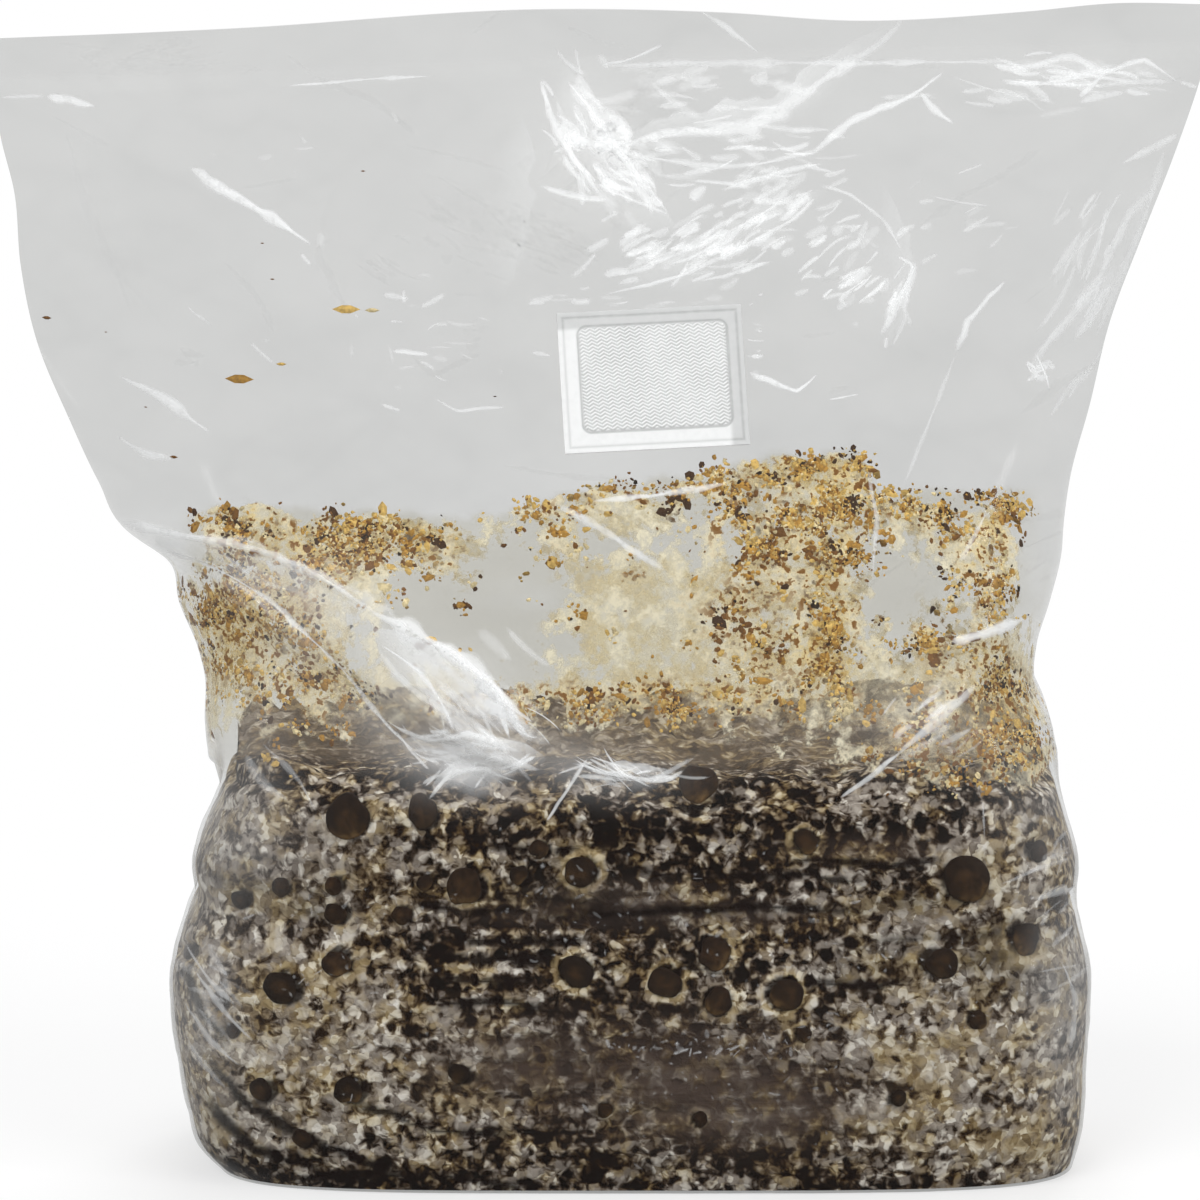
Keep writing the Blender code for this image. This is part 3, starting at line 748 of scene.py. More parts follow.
def fold_height(x, height, panel):
    """How far the folds where the gussets open out stand proud of a panel."""
    proud = np.zeros_like(x)
    for side, start, end, rise, above, below in FOLDS:
        if side != panel:
            continue
        a = np.array([start[0] * BLOCK_WIDTH / 2 + BLOCK_OFFSET, start[1] * WELD_HEIGHT])
        b = np.array([end[0] * BLOCK_WIDTH / 2 + BLOCK_OFFSET, end[1] * WELD_HEIGHT])
        length = float(np.hypot(*(b - a)))
        line = (b - a) / length
        normal = np.array([-line[1], line[0]])
        if normal[1] < 0:
            normal = -normal
        travel = ((x - a[0]) * line[0] + (height - a[1]) * line[1]) / length
        distance = (x - a[0]) * normal[0] + (height - a[1]) * normal[1]
        spread = np.where(distance > 0, above, below)
        taper = smoothstep(*FOLD_GROWS, travel) * (1 - smoothstep(*FOLD_FADES, travel))
        proud += rise * taper * np.exp(-((distance / spread) ** 2))
    return proud


def lean(height):
    """How much of the weld's wave and slope shows at a height, from 0 to 1."""
    return smoothstep(BLOCK_HEIGHT * LEAN_START, WELD_HEIGHT, np.minimum(height, WELD_HEIGHT))


def wave(x, height):
    """How far the bag's middle sheet lies to the back, as its top edge waves."""
    return TOP_WAVE * lean(height) * np.sin(WAVE_BENDS * math.pi * (x / (TOP_WIDTH / 2) + WAVE_SHIFT))


def from_middle(points):
    """How far points lie from the bag's middle sheet."""
    return np.abs(points[..., 1] - wave(points[..., 0], points[..., 2]))


def panel_point(x, z, panel):
    """The point of the front (-1) or back (1) panel at x and z, before the patch flattens it."""
    height = z - WELD_RISE * lean(z) * x / TOP_WIDTH
    middle, left, right, deep, boxy = section(height)
    across = LENS_ACROSS + (BOXY - LENS_ACROSS) * boxy
    power = LENS_DEEP + (BOXY - LENS_DEEP) * boxy
    reach = np.where(x < middle, left, right)
    share = np.clip(np.abs(x - middle) / reach, 0, 1)
    y = deep * (1 - share**across) ** (1 / power)
    y = y + fold_height(np.atleast_1d(x), height, panel)[0] * min(float(y) / EDGE_FADE, 1.0)
    return Vector((float(x), float(panel * y + wave(x, height)), float(z)))


def patch_frame():
    """The patch's middle, and its directions to the right, up and outward."""
    across = panel_point(PATCH_X + PATCH_STEP, PATCH_Z, -1) - panel_point(PATCH_X - PATCH_STEP, PATCH_Z, -1)
    up = panel_point(PATCH_X, PATCH_Z + PATCH_STEP, -1) - panel_point(PATCH_X, PATCH_Z - PATCH_STEP, -1)
    outward = across.cross(up).normalized()
    right = (Vector((1, 0, 0)) - outward * outward.x).normalized()
    turn = Matrix.Rotation(PATCH_ROLL, 3, outward)
    found = (panel_point(PATCH_X, PATCH_Z, -1), turn @ right, turn @ outward.cross(right), outward)
    return tuple(np.array(v) for v in found)


PATCH = patch_frame()


def off_patch(points):
    """How far points lie beyond the patch's edges, and how far in front of its plane."""
    centre, right, up, outward = PATCH
    offset = points - centre
    beside = np.maximum(np.abs(offset @ right) - PATCH_WIDTH / 2, 0)
    beyond = np.maximum(np.abs(offset @ up) - PATCH_HEIGHT / 2, 0)
    return np.hypot(beside, beyond), offset @ outward


def panel_grid(heights, columns, panel, inset=0.0):
    """The panel's points as an array of rows and columns, with its folds, lean and wave."""
    rows = []
    for height in heights:
        x, y = outline(height, columns, inset)
        if height > WELD_HEIGHT:
            opening = smoothstep(WELD_BAND, 2 * WELD_BAND, height - WELD_HEIGHT)
            y = y * (FILM_WALL + SKIRT_SLOT / 2 * opening) / FILM_WALL
        proud = fold_height(x, height, panel) * np.minimum(y / EDGE_FADE, 1.0)
        z = height + WELD_RISE * lean(height) * x / TOP_WIDTH
        rows.append(np.stack([x, panel * (y + proud) + wave(x, height), z], axis=1))
    points = np.array(rows)
    top = smoothstep(WELD_HEIGHT + WELD_BAND, WELD_HEIGHT + SKIRT_HEIGHT, np.array(heights))[:, None]
    share = np.clip(points[..., 0] / (TOP_WIDTH / 2), -1, 1)
    points[..., 2] += top * (along(TOP_EDGE, 1, share) - 1) * SKIRT_HEIGHT
    if panel < 0:
        away, off_plane = off_patch(points)
        weight = 1 - smoothstep(FLAT_REACH, BEND_REACH, away)
        points[..., 1] -= weight * off_plane / PATCH[3][1]
    return points


def picture(points):
    """Where points fall in the picture, across and down."""
    forward = np.array([0, math.cos(ELEVATION), -math.sin(ELEVATION)])
    upward = np.array([0, math.sin(ELEVATION), math.cos(ELEVATION)])
    offset = points - np.array([0, 0, LOOK_HEIGHT])
    scale = DISTANCE / (offset @ forward + DISTANCE) / PIXEL
    return PICTURE / 2 + offset[..., 0] * scale, PICTURE / 2 - (offset @ upward) * scale


def value_noise(x, y, seed):
    """Smooth random values from 0 to 1 on a plane, one cell to a unit."""
    table = np.random.default_rng(seed).random((NOISE_CELLS, NOISE_CELLS))
    i, j = np.floor(x).astype(int), np.floor(y).astype(int)
    s, t = x - i, y - j
    s, t = s * s * (3 - 2 * s), t * t * (3 - 2 * t)

    def at(a, b):
        return table[(i + a) % NOISE_CELLS, (j + b) % NOISE_CELLS]

    low = at(0, 0) * (1 - s) + at(1, 0) * s
    high = at(0, 1) * (1 - s) + at(1, 1) * s
    return low * (1 - t) + high * t


def layered(layer, octaves):
    """Layers of noise, each twice as fine as the one before and half as strong."""
    total, weight = 0.0, 0.0
    for k in range(octaves):
        total = total + layer(k) / 2**k
        weight += 1 / 2**k
    return total / weight


def rough_noise(x, y, seed, octaves=4):
    """Rough random values from 0 to 1 on a plane."""
    return layered(lambda k: value_noise(x * 2**k, y * 2**k, seed + k), octaves)


def ridges(x, y, seed, octaves=3):
    """Sharp crests from 0 to 1, as in crumpled film."""
    return layered(
        lambda k: (1 - np.abs(2 * value_noise(x * 2**k, y * 2**k, seed + k) - 1)) ** 3, octaves
    )


def blobs(u, v, spots):
    """Soft oval spots added up."""
    total = np.zeros_like(u)
    for cx, cy, rx, ry, amount in spots:
        total += amount * np.exp(-(((u - cx) / rx) ** 2) - ((v - cy) / ry) ** 2)
    return total


def to_line(u, v, line):
    """Distance to a line of points, and how far along it the nearest place is, from 0 to 1."""
    best = np.full(u.shape, np.inf)
    travel = np.zeros(u.shape)
    lengths = [math.dist(a, b) for a, b in zip(line, line[1:])]
    total, done = sum(lengths), 0.0
    for a, b, length in zip(line, line[1:], lengths):
        dx, dy = (b[0] - a[0]) / length, (b[1] - a[1]) / length
        t = np.clip((u - a[0]) * dx + (v - a[1]) * dy, 0, length)
        d = np.hypot(u - a[0] - t * dx, v - a[1] - t * dy)
        nearer = d < best
        best = np.where(nearer, d, best)
        travel = np.where(nearer, (done + t) / total, travel)
        done += length
    return best, travel


def line_ends(travel, grows, fades):
    """A mark's strength along its line: it grows over the first share and goes after the last."""
    return smoothstep(0.0, grows, travel) * (1 - smoothstep(fades, 1.0, travel))


def grid_normals(points):
    """Outward directions of a panel's points, for a panel that runs left to right and upwards."""
    normal = np.cross(np.gradient(points, axis=1), np.gradient(points, axis=0))
    length = np.linalg.norm(normal, axis=2, keepdims=True)
    return normal / np.maximum(length, 1e-12)


def grid_faces(rows, columns, flip=False):
    """Faces of a sheet of rows and columns."""
    j, i = np.meshgrid(np.arange(rows - 1), np.arange(columns - 1), indexing="ij")
    a = (j * columns + i).ravel()
    faces = np.stack([a, a + 1, a + columns + 1, a + columns], axis=1)
    return faces[:, ::-1] if flip else faces


def ring_faces(rings, around):
    """Faces between rings of points that close on themselves."""
    j, i = np.meshgrid(np.arange(rings - 1), np.arange(around), indexing="ij")
    a, b = j * around + i, j * around + (i + 1) % around
    return np.stack([a, b, b + around, a + around], axis=-1).reshape(-1, 4)


def make_mesh(name, points, faces, material_used, smooth=True):
    """A new object from arrays of points and of faces."""
    mesh = bpy.data.meshes.new(name)
    mesh.from_pydata(points.reshape(-1, 3).tolist(), [], faces.tolist())
    mesh.update()
    if smooth:
        mesh.shade_smooth()
    mesh.materials.append(material_used)
    obj = bpy.data.objects.new(name, mesh)
    bpy.context.scene.collection.objects.link(obj)
    return obj


def attribute(obj, name, values):
    """A number at each point, for the material to read."""
    layer = obj.data.attributes.new(name, "FLOAT", "POINT")
    layer.data.foreach_set("value", np.ascontiguousarray(values, dtype=np.float32).ravel())


def colour_attribute(obj, name, values):
    """A colour at each point, for the material to read."""
    layer = obj.data.attributes.new(name, "FLOAT_COLOR", "POINT")
    full = np.concatenate([values, np.ones((len(values), 1))], axis=1)
    layer.data.foreach_set("color", np.ascontiguousarray(full, dtype=np.float32).ravel())


# Node trees


def node(tree, kind, links=None, **settings):
    """Adds a node: links gives values or other sockets for its inputs, by name or number."""
    made = tree.nodes.new(kind)
    for key, value in settings.items():
        setattr(made, key, value)
    for key, value in (links or {}).items():
        if isinstance(value, bpy.types.NodeSocket):
            tree.links.new(value, made.inputs[key])
        else:
            made.inputs[key].default_value = value
    return made


def maths(tree, operation, a, b, clamp=False):
    return node(tree, "ShaderNodeMath", {0: a, 1: b}, operation=operation, use_clamp=clamp).outputs[0]


def add(tree, a, b, clamp=False):
    return maths(tree, "ADD", a, b, clamp)


def subtract(tree, a, b, clamp=False):
    return maths(tree, "SUBTRACT", a, b, clamp)


def multiply(tree, a, b, clamp=False):
    return maths(tree, "MULTIPLY", a, b, clamp)


def ramp(tree, value, low, high, to_low=0.0, to_high=1.0):
    """A smooth step of a value between two levels, from one number to another."""
    made = node(
        tree,
        "ShaderNodeMapRange",
        {"Value": value, "From Min": low, "From Max": high, "To Min": to_low, "To Max": to_high},
        interpolation_type="SMOOTHSTEP",
    )
    return made.outputs["Result"]


def mix_colour(tree, factor, a, b):
    """From colour a at 0 to colour b at 1."""
    full = [value if isinstance(value, bpy.types.NodeSocket) else (*value, 1.0) for value in (a, b)]
    links = {0: factor, 6: full[0], 7: full[1]}
    return node(tree, "ShaderNodeMix", links, data_type="RGBA", clamp_factor=True).outputs[2]


def mix_value(tree, factor, a, b):
    """From number a at 0 to number b at 1."""
    return node(tree, "ShaderNodeMix", {0: factor, 2: a, 3: b}, clamp_factor=True).outputs[0]


def mix_shader(tree, share, a, b):
    """From shader a at 0 to shader b at 1."""
    return node(tree, "ShaderNodeMixShader", {0: share, 1: a, 2: b}).outputs[0]


def read(tree, name):
    """A number that the mesh holds at each point."""
    return node(tree, "ShaderNodeAttribute", attribute_name=name).outputs["Fac"]


def object_place(tree):
    """The place on the object, in metres."""
    return node(tree, "ShaderNodeTexCoord").outputs["Object"]


def noise(tree, place, scale, detail=3.0, roughness=0.5, distortion=0.0):
    """Soft random values around 0.5, with cells of 1 / scale metres."""
    links = {"Vector": place, "Scale": scale, "Detail": detail, "Roughness": roughness}
    return node(tree, "ShaderNodeTexNoise", {**links, "Distortion": distortion}).outputs[0]


def colour_run(tree, value, stops):
    """Colours along a value from 0 to 1: stops are places and colours."""
    made = node(tree, "ShaderNodeValToRGB", {0: value})
    band = made.color_ramp
    while len(band.elements) < len(stops):
        band.elements.new(0.5)
    for element, (place, colour) in zip(band.elements, stops):
        element.position = place
        element.color = (*colour, 1.0)
    return made.outputs[0]


def bump(tree, height, strength, distance):
    """The direction of a surface with fine relief."""
    links = {"Height": height, "Strength": strength, "Distance": distance}
    return node(tree, "ShaderNodeBump", links).outputs[0]


def coloured(tree, kind, colour, **links):
    """A simple shader: kind is Diffuse, Transparent or Glossy."""
    colour = colour if isinstance(colour, bpy.types.NodeSocket) else (*colour, 1.0)
    return node(tree, "ShaderNodeBsdf" + kind, {"Color": colour, **links}).outputs[0]


def principled(tree, colour, roughness, specular, normal=None):
    """The usual surface shader."""
    colour = colour if isinstance(colour, bpy.types.NodeSocket) else (*colour, 1.0)
    links = {"Base Color": colour, "Roughness": roughness, "Specular IOR Level": specular}
    if normal is not None:
        links["Normal"] = normal
    return node(tree, "ShaderNodeBsdfPrincipled", links).outputs[0]


def speckle_group():
    """Ragged patches: grain sets their size, cover how much they take up, and edge how soft."""
    made = bpy.data.node_groups.new("ragged_patches", "ShaderNodeTree")
    starts = {"Grain": 400.0, "Cover": 0.5, "Edge": 0.05, "Raggedness": 0.6}
    for label, start in starts.items():
        socket = made.interface.new_socket(label, in_out="INPUT", socket_type="NodeSocketFloat")
        socket.default_value = start
    for label in ("Mask", "Height"):
        made.interface.new_socket(label, in_out="OUTPUT", socket_type="NodeSocketFloat")
    given, out = made.nodes.new("NodeGroupInput").outputs, made.nodes.new("NodeGroupOutput").inputs
    coarse = noise(made, object_place(made), given["Grain"], 5.0, given["Raggedness"])
    level = subtract(made, 1.0, given["Cover"])
    shifted = subtract(made, ramp(made, coarse, 0.28, 0.72), level)
    mask = add(made, maths(made, "DIVIDE", shifted, given["Edge"]), 0.5, clamp=True)
    made.links.new(mask, out["Mask"])
    made.links.new(coarse, out["Height"])
    return made


SPECKLE = speckle_group()


def speckles(tree, grain, cover, edge, raggedness):
    """The ragged patches, placed in a material with its own values."""
    links = {"Grain": grain, "Cover": cover, "Edge": edge, "Raggedness": raggedness}
    return node(tree, "ShaderNodeGroup", links, node_tree=SPECKLE).outputs


def material(name):
    made = bpy.data.materials.new(name)
    made.use_nodes = True
    made.node_tree.nodes.clear()
    return made, made.node_tree


def finish_material(tree, shader, output="ShaderNodeOutputMaterial"):
    """Shows a shader on the surface, or as the world's backdrop."""
    tree.links.new(shader, node(tree, output).inputs["Surface"])


# Materials: their colours are linear red, green and blue

FILM_CAST, FILM_SHADE = (0.818, 0.820, 0.816), (0.760, 0.763, 0.760)
# Next: the milky haze, which also paints sheen, and the white of the creases' painted highlights
FILM_MILK_AND_SHEEN, CREASE_HIGHLIGHT_WHITE = (0.93, 0.93, 0.92), (0.96, 0.97, 0.97)
CREAM, RICH_CREAM, CLOTS = (0.97, 0.90, 0.69), (0.93, 0.74, 0.37), (0.27, 0.125, 0.03)
CREAM_TINT, RICH_TINT, VEIL_TINT = (0.90, 0.84, 0.67), (0.85, 0.70, 0.38), (0.925, 0.915, 0.88)
# Next: wet and dusty soil, and the near black of the painted shade in the block's creases
WET_SOIL, DUSTY_SOIL, SHADE_DARK = (0.088, 0.062, 0.050), (0.27, 0.205, 0.135), (0.006, 0.002, 0.001)
KERNEL_DARK, CRUMB_SHADE = (0.009, 0.004, 0.002), (0.10, 0.055, 0.02)
# Next: the membrane, its grey for pressed lines and for painted shade on its borders, and its grain
MEMBRANE, MEMBRANE_PRESSED_AND_SHADED, MEMBRANE_GRAIN = (0.96, 0.965, 0.96), (0.50, 0.505, 0.50), (0.74, 0.745, 0.74)
WHITE, FLOOR_GREY, SKY = (1.0, 1.0, 1.0), (0.35, 0.35, 0.35), (0.96, 0.98, 1.0)

# From bare dark substrate to thick mycelium: places and colours, greyer and warmer
GREY_GROWTH = [
    (0.00, (0.004, 0.002, 0.001)),
    (0.14, (0.022, 0.012, 0.006)),
    (0.30, (0.074, 0.051, 0.035)),
    (0.48, (0.205, 0.170, 0.140)),
    (0.66, (0.400, 0.350, 0.298)),
    (0.84, (0.640, 0.582, 0.505)),
    (1.00, (0.920, 0.870, 0.785)),
]
OCHRE_GROWTH = [
    (0.00, (0.006, 0.002, 0.001)),
    (0.20, (0.045, 0.023, 0.008)),
    (0.45, (0.190, 0.126, 0.056)),
    (0.70, (0.460, 0.352, 0.186)),
    (1.00, (0.880, 0.790, 0.600)),
]

# Cells of the block's grains and pits to a metre, and how far their edges are bent
GRAIN_SCALE, PIT_SCALE, GRAIN_BEND = 400.0, 170.0, 0.004
LAYER_SCALE = (18.0, 18.0, 150.0)


def film_material():
    """Clear film: see-through with a grey cast that painted shade varies, a little milky haze that also
    paints sheen, and gloss on both sides.
    """
    made, tree = material("clear_crumpled_film")
    # The grey cast is painted darker where the shade value is high, as painted shade in bands and folds
    cast = mix_colour(tree, read(tree, "shade"), FILM_CAST, FILM_SHADE)
    clear = coloured(tree, "Transparent", cast)
    # The milky white is haze, and it also paints the sheen of crumpled places
    body = mix_shader(tree, read(tree, "haze_and_sheen"), clear, coloured(tree, "Diffuse", FILM_MILK_AND_SHEEN))
    facing = node(tree, "ShaderNodeLayerWeight", {"Blend": 0.5}).outputs["Facing"]
    grazing = multiply(tree, maths(tree, "POWER", facing, 4.0), 0.30)
    share = add(tree, grazing, 0.008, clamp=True)
    gloss = coloured(tree, "Glossy", WHITE, Roughness=0.12)
    finish_material(tree, mix_shader(tree, share, body, gloss))
    return made


def crease_highlight_material():
    """Sharp creases of the film as painted white highlights where they catch the light, with some film
    turned white along them.
    """
    made, tree = material("painted_crease_highlights")
    broken = noise(tree, object_place(tree), 420.0)
    share = multiply(tree, read(tree, "crease"), ramp(tree, broken, 0.30, 0.50, 0.72, 1.0), clamp=True)
    behind = node(tree, "ShaderNodeNewGeometry").outputs["Backfacing"]
    share = multiply(tree, share, subtract(tree, 1.0, multiply(tree, behind, 0.85)))
    # The white is painted highlight where the creases catch the light, with some film turned white along
    # them
    milky = principled(tree, CREASE_HIGHLIGHT_WHITE, 0.3, 0.4)
    finish_material(tree, mix_shader(tree, share, coloured(tree, "Transparent", WHITE), milky))
    return made


def residue_material():
    """Dried cream-coloured residue, thin and ragged: it tints what shows through it."""
    made, tree = material("dried_residue")
    place = object_place(tree)
    stain, rich, veil = read(tree, "stain"), read(tree, "rich"), read(tree, "veil")
    broad = noise(tree, place, 130.0, 4.0, 0.66)
    fine = noise(tree, place, 430.0, 3.0, 0.55)
    level = subtract(tree, ramp(tree, broad, 0.28, 0.72), subtract(tree, 1.0, stain))
    mask = add(tree, maths(tree, "DIVIDE", level, 0.24), 0.5, clamp=True)
    mask = multiply(tree, mask, ramp(tree, stain, 0.03, 0.30))
    thick = multiply(tree, mask, ramp(tree, fine, 0.34, 0.62, 0.5, 1.25))
    warm = multiply(tree, rich, ramp(tree, fine, 0.36, 0.60, 0.35, 1.3), clamp=True)
    clots = multiply(tree, ramp(tree, fine, 0.55, 0.60), ramp(tree, rich, 0.10, 0.45), clamp=True)
    cream = mix_colour(tree, clots, mix_colour(tree, warm, CREAM, RICH_CREAM), CLOTS)
    tint = mix_colour(tree, warm, CREAM_TINT, RICH_TINT)
    tint = mix_colour(tree, thick, mix_colour(tree, veil, WHITE, VEIL_TINT), tint)
    share = add(tree, ramp(tree, broad, 0.46, 0.62, 0.22, 0.80), multiply(tree, clots, 0.5))
    share = multiply(tree, thick, share, clamp=True)
    through, crust = coloured(tree, "Transparent", tint), coloured(tree, "Diffuse", cream)
    finish_material(tree, mix_shader(tree, share, through, crust))
    return made


def block_grains(tree, place):
    """The substrate's grains: how far from each one's middle, each one's own values, and pits."""
    bent = node(tree, "ShaderNodeTexNoise", {"Vector": place, "Scale": 300.0, "Detail": 2.0})
    links = {0: GRAIN_BEND, 4: place, 5: bent.outputs["Color"]}
    moved = node(tree, "ShaderNodeMix", links, data_type="VECTOR").outputs[1]
    grains = node(tree, "ShaderNodeTexVoronoi", {"Vector": moved, "Scale": GRAIN_SCALE}).outputs
    own = node(tree, "ShaderNodeSeparateColor", {0: grains["Color"]}).outputs
    pits = node(tree, "ShaderNodeTexVoronoi", {"Vector": moved, "Scale": PIT_SCALE}).outputs
    deep = subtract(tree, 1.0, ramp(tree, pits["Distance"], 0.16, 0.36))
    chosen = node(tree, "ShaderNodeSeparateColor", {0: pits["Color"]}).outputs[0]
    return grains["Distance"], own, multiply(tree, deep, ramp(tree, chosen, 0.52, 0.56))


def growth_level(tree, place, small, own, distance, deep):
    """How pale the block is, from bare substrate at 0 to thick mycelium at 1."""
    cover, halo, calm = read(tree, "mycelium"), read(tree, "halo"), read(tree, "calm")
    broad = noise(tree, place, 105.0, 3.0, 0.6)
    layers = node(tree, "ShaderNodeMapping", {"Vector": place, "Scale": LAYER_SCALE}).outputs[0]
    bands = noise(tree, layers, 1.0, 4.0, 0.6, 0.4)
    patchy = ramp(tree, broad, 0.26, 0.74, -0.34, 0.34)
    rough = add(tree, patchy, ramp(tree, small, 0.28, 0.72, -0.44, 0.44))
    rough = add(tree, rough, multiply(tree, subtract(tree, own[0], 0.5), 0.36))
    rough = subtract(tree, rough, ramp(tree, distance, 0.30, 0.75, -0.05, 0.22))
    rough = multiply(tree, rough, subtract(tree, 1.0, multiply(tree, calm, 0.75)))
    level = add(tree, add(tree, cover, multiply(tree, halo, 0.62)), rough)
    level = add(tree, level, ramp(tree, bands, 0.36, 0.64, -0.16, 0.12))
    level = subtract(tree, level, multiply(tree, deep, 0.5), clamp=True)
    level = mix_value(tree, ramp(tree, cover, 0.5, 0.75, 0.0, 0.16), level, 0.58)
    grainy = add(tree, multiply(tree, own[2], 0.62), ramp(tree, small, 0.3, 0.7, 0.14, 0.44))
    return mix_value(tree, ramp(tree, level, 0.45, 0.85, 0.0, 0.72), level, grainy)


def block_material():
    """Damp dark substrate of small grains, with grey-white mycelium over it in ragged patches, and painted
    shade in its creases and round its kernels.
    """
    made, tree = material("overgrown_substrate")
    place = object_place(tree)
    halo = read(tree, "halo")
    small = noise(tree, place, 330.0, 2.0, 0.5, 0.6)
    distance, own, deep = block_grains(tree, place)
    level = growth_level(tree, place, small, own, distance, deep)
    warm = ramp(tree, noise(tree, place, 90.0, 3.0, 0.6), 0.44, 0.60, 0.0, 0.7)
    warm = add(tree, warm, multiply(tree, halo, 0.55))
    warm = add(tree, warm, ramp(tree, own[1], 0.6, 0.9, 0.0, 0.4), clamp=True)
    grey, ochre = colour_run(tree, level, GREY_GROWTH), colour_run(tree, level, OCHRE_GROWTH)
    dull = multiply(tree, read(tree, "calm"), ramp(tree, small, 0.35, 0.65, 0.85, 0.5))
    soil = mix_colour(tree, multiply(tree, halo, 2.0, clamp=True), WET_SOIL, DUSTY_SOIL)
    colour = mix_colour(tree, dull, mix_colour(tree, warm, grey, ochre), soil)
    # Painted shade: near black in the creases, the fine horizontal folds and round the kernels' edges
    colour = mix_colour(tree, read(tree, "painted_shade"), colour, SHADE_DARK)
    relief = bump(tree, add(tree, level, multiply(tree, small, 0.4)), 0.6, 0.0015)
    finish_material(tree, principled(tree, colour, 0.6, 0.04, relief))
    return made


def kernel_material():
    """Dark brown kernels, mottled and a little shiny."""
    made, tree = material("kernels_and_rims")
    tone = node(tree, "ShaderNodeAttribute", attribute_name="tone").outputs["Color"]
    patches = speckles(tree, 420.0, 0.5, 0.5, 0.6)
    colour = mix_colour(tree, multiply(tree, patches["Mask"], 0.7), tone, KERNEL_DARK)
    relief = bump(tree, patches["Height"], 0.5, 0.001)
    finish_material(tree, principled(tree, colour, 0.5, 0.1, relief))
    return made


def crumb_material():
    """Dry crumbs, each in its own tone with a few darker specks."""
    made, tree = material("residue_crumbs")
    tone = node(tree, "ShaderNodeAttribute", attribute_name="tone").outputs["Color"]
    patches = speckles(tree, 1200.0, 0.45, 0.6, 0.5)
    colour = mix_colour(tree, multiply(tree, patches["Mask"], 0.35), tone, CRUMB_SHADE)
    finish_material(tree, principled(tree, colour, 0.65, 0.2))
    return made


def patch_material():
    """White membrane, a little greyer in the pressed lines, groove and weld line, with painted shade along
    its right and top borders.
    """
    made, tree = material("filter_membrane")
    grain = noise(tree, object_place(tree), 500.0)
    colour = mix_colour(tree, read(tree, "pressed_and_shaded"), MEMBRANE, MEMBRANE_PRESSED_AND_SHADED)
    colour = mix_colour(tree, ramp(tree, grain, 0.4, 0.7, 0.0, 0.2), colour, MEMBRANE_GRAIN)
    finish_material(tree, principled(tree, colour, 0.42, 0.3, bump(tree, grain, 0.15, 0.0005)))
    return made


# Pieces


def film_relief(points, panel, crumple):
    """How far the film stands out from its plain shape, in metres."""
    x, z = points[..., 0] * MILLIMETRES, points[..., 2] * MILLIMETRES
    seed = FILM_SEEDS[panel]
    below_weld = WELD_HEIGHT * MILLIMETRES - z
    swell = rough_noise(x / 46, z / 54, seed, 2) - 0.5
    crest = ridges((x + 0.5 * z) / 30, (z - 0.4 * x) / 44, seed + 5)
    wrinkle = ridges((x + 0.3 * z) / 11, (z - 0.6 * x) / 19, seed + 9)
    crinkle = ridges((x - 0.4 * z) / 5.5, (z + 0.5 * x) / 8.5, seed + 13, 2)
    rough = 0.08 + 0.9 * np.clip(crumple, 0, 1)
    loose = smoothstep(*FILM_LOOSENS, z)
    out = loose * (1.2 * swell + rough * (1.2 * crest + 0.5 * wrinkle + 0.28 * crinkle))
    cling = (1 - loose) * (0.55 * (rough_noise(x / 14, z / 5, seed + 3, 3) - 0.6))
    pucker = value_noise(x / 5, z * 0 + 3, seed + 7) - 0.5
    pucker = 0.35 * smoothstep(18, 2, below_weld) * pucker
    return (out * smoothstep(0, 14, below_weld) + cling + pucker) / MILLIMETRES


def crease_relief(u, v):
    """The broad creases' own height, from places in the picture."""
    proud = np.zeros_like(u)
    for width, _, rise, line in CREASES_AND_HIGHLIGHTS:
        if width >= LOW_CREASE:
            distance, travel = to_line(u, v, line)
            proud += rise * line_ends(travel, 0.15, 0.8) * np.exp(-distance / (width * 0.9))
    return proud / MILLIMETRES


def film_haze_and_sheen(points, u, v, panel):
    """How milky the film looks, haze and painted sheen together: along the block's sides, at the pale
    places listed for the front, and along the weld.
    """
    x, z = points[..., 0], points[..., 2]
    low = smoothstep(*HAZE_CLEARS, z * MILLIMETRES)
    rim = smoothstep(RIM_DEPTH, 0.0, from_middle(points))
    haze_and_sheen = 0.001 + 0.014 * low + 0.26 * rim * (1 - low)
    if panel < 0:
        haze_and_sheen = haze_and_sheen + blobs(u, v, HAZE_AND_SHEEN)
    weld = np.abs(z - WELD_RISE * lean(z) * x / TOP_WIDTH - WELD_HEIGHT - WELD_BAND / 2)
    haze_and_sheen = haze_and_sheen + 0.05 * (1 - smoothstep(*WELD_EDGE, weld))
    return haze_and_sheen * (0.55 + 0.9 * rough_noise(u / 120, v / 90, 63))


def film_shade(u, v):
    """How grey the film looks, as painted shade: darker in broad uneven bands and along folds, and painted
    lighter at the upper right.
    """
    streaks = ridges((u + v) / 110, (v - 0.5 * u) / 60, 67)
    shade = 0.9 * rough_noise(u / 150, v / 70, 65) + 0.5 * streaks - 0.15
    return np.clip(shade - 0.45 * smoothstep(560, 900, u) * smoothstep(460, 300, v), 0, 1)


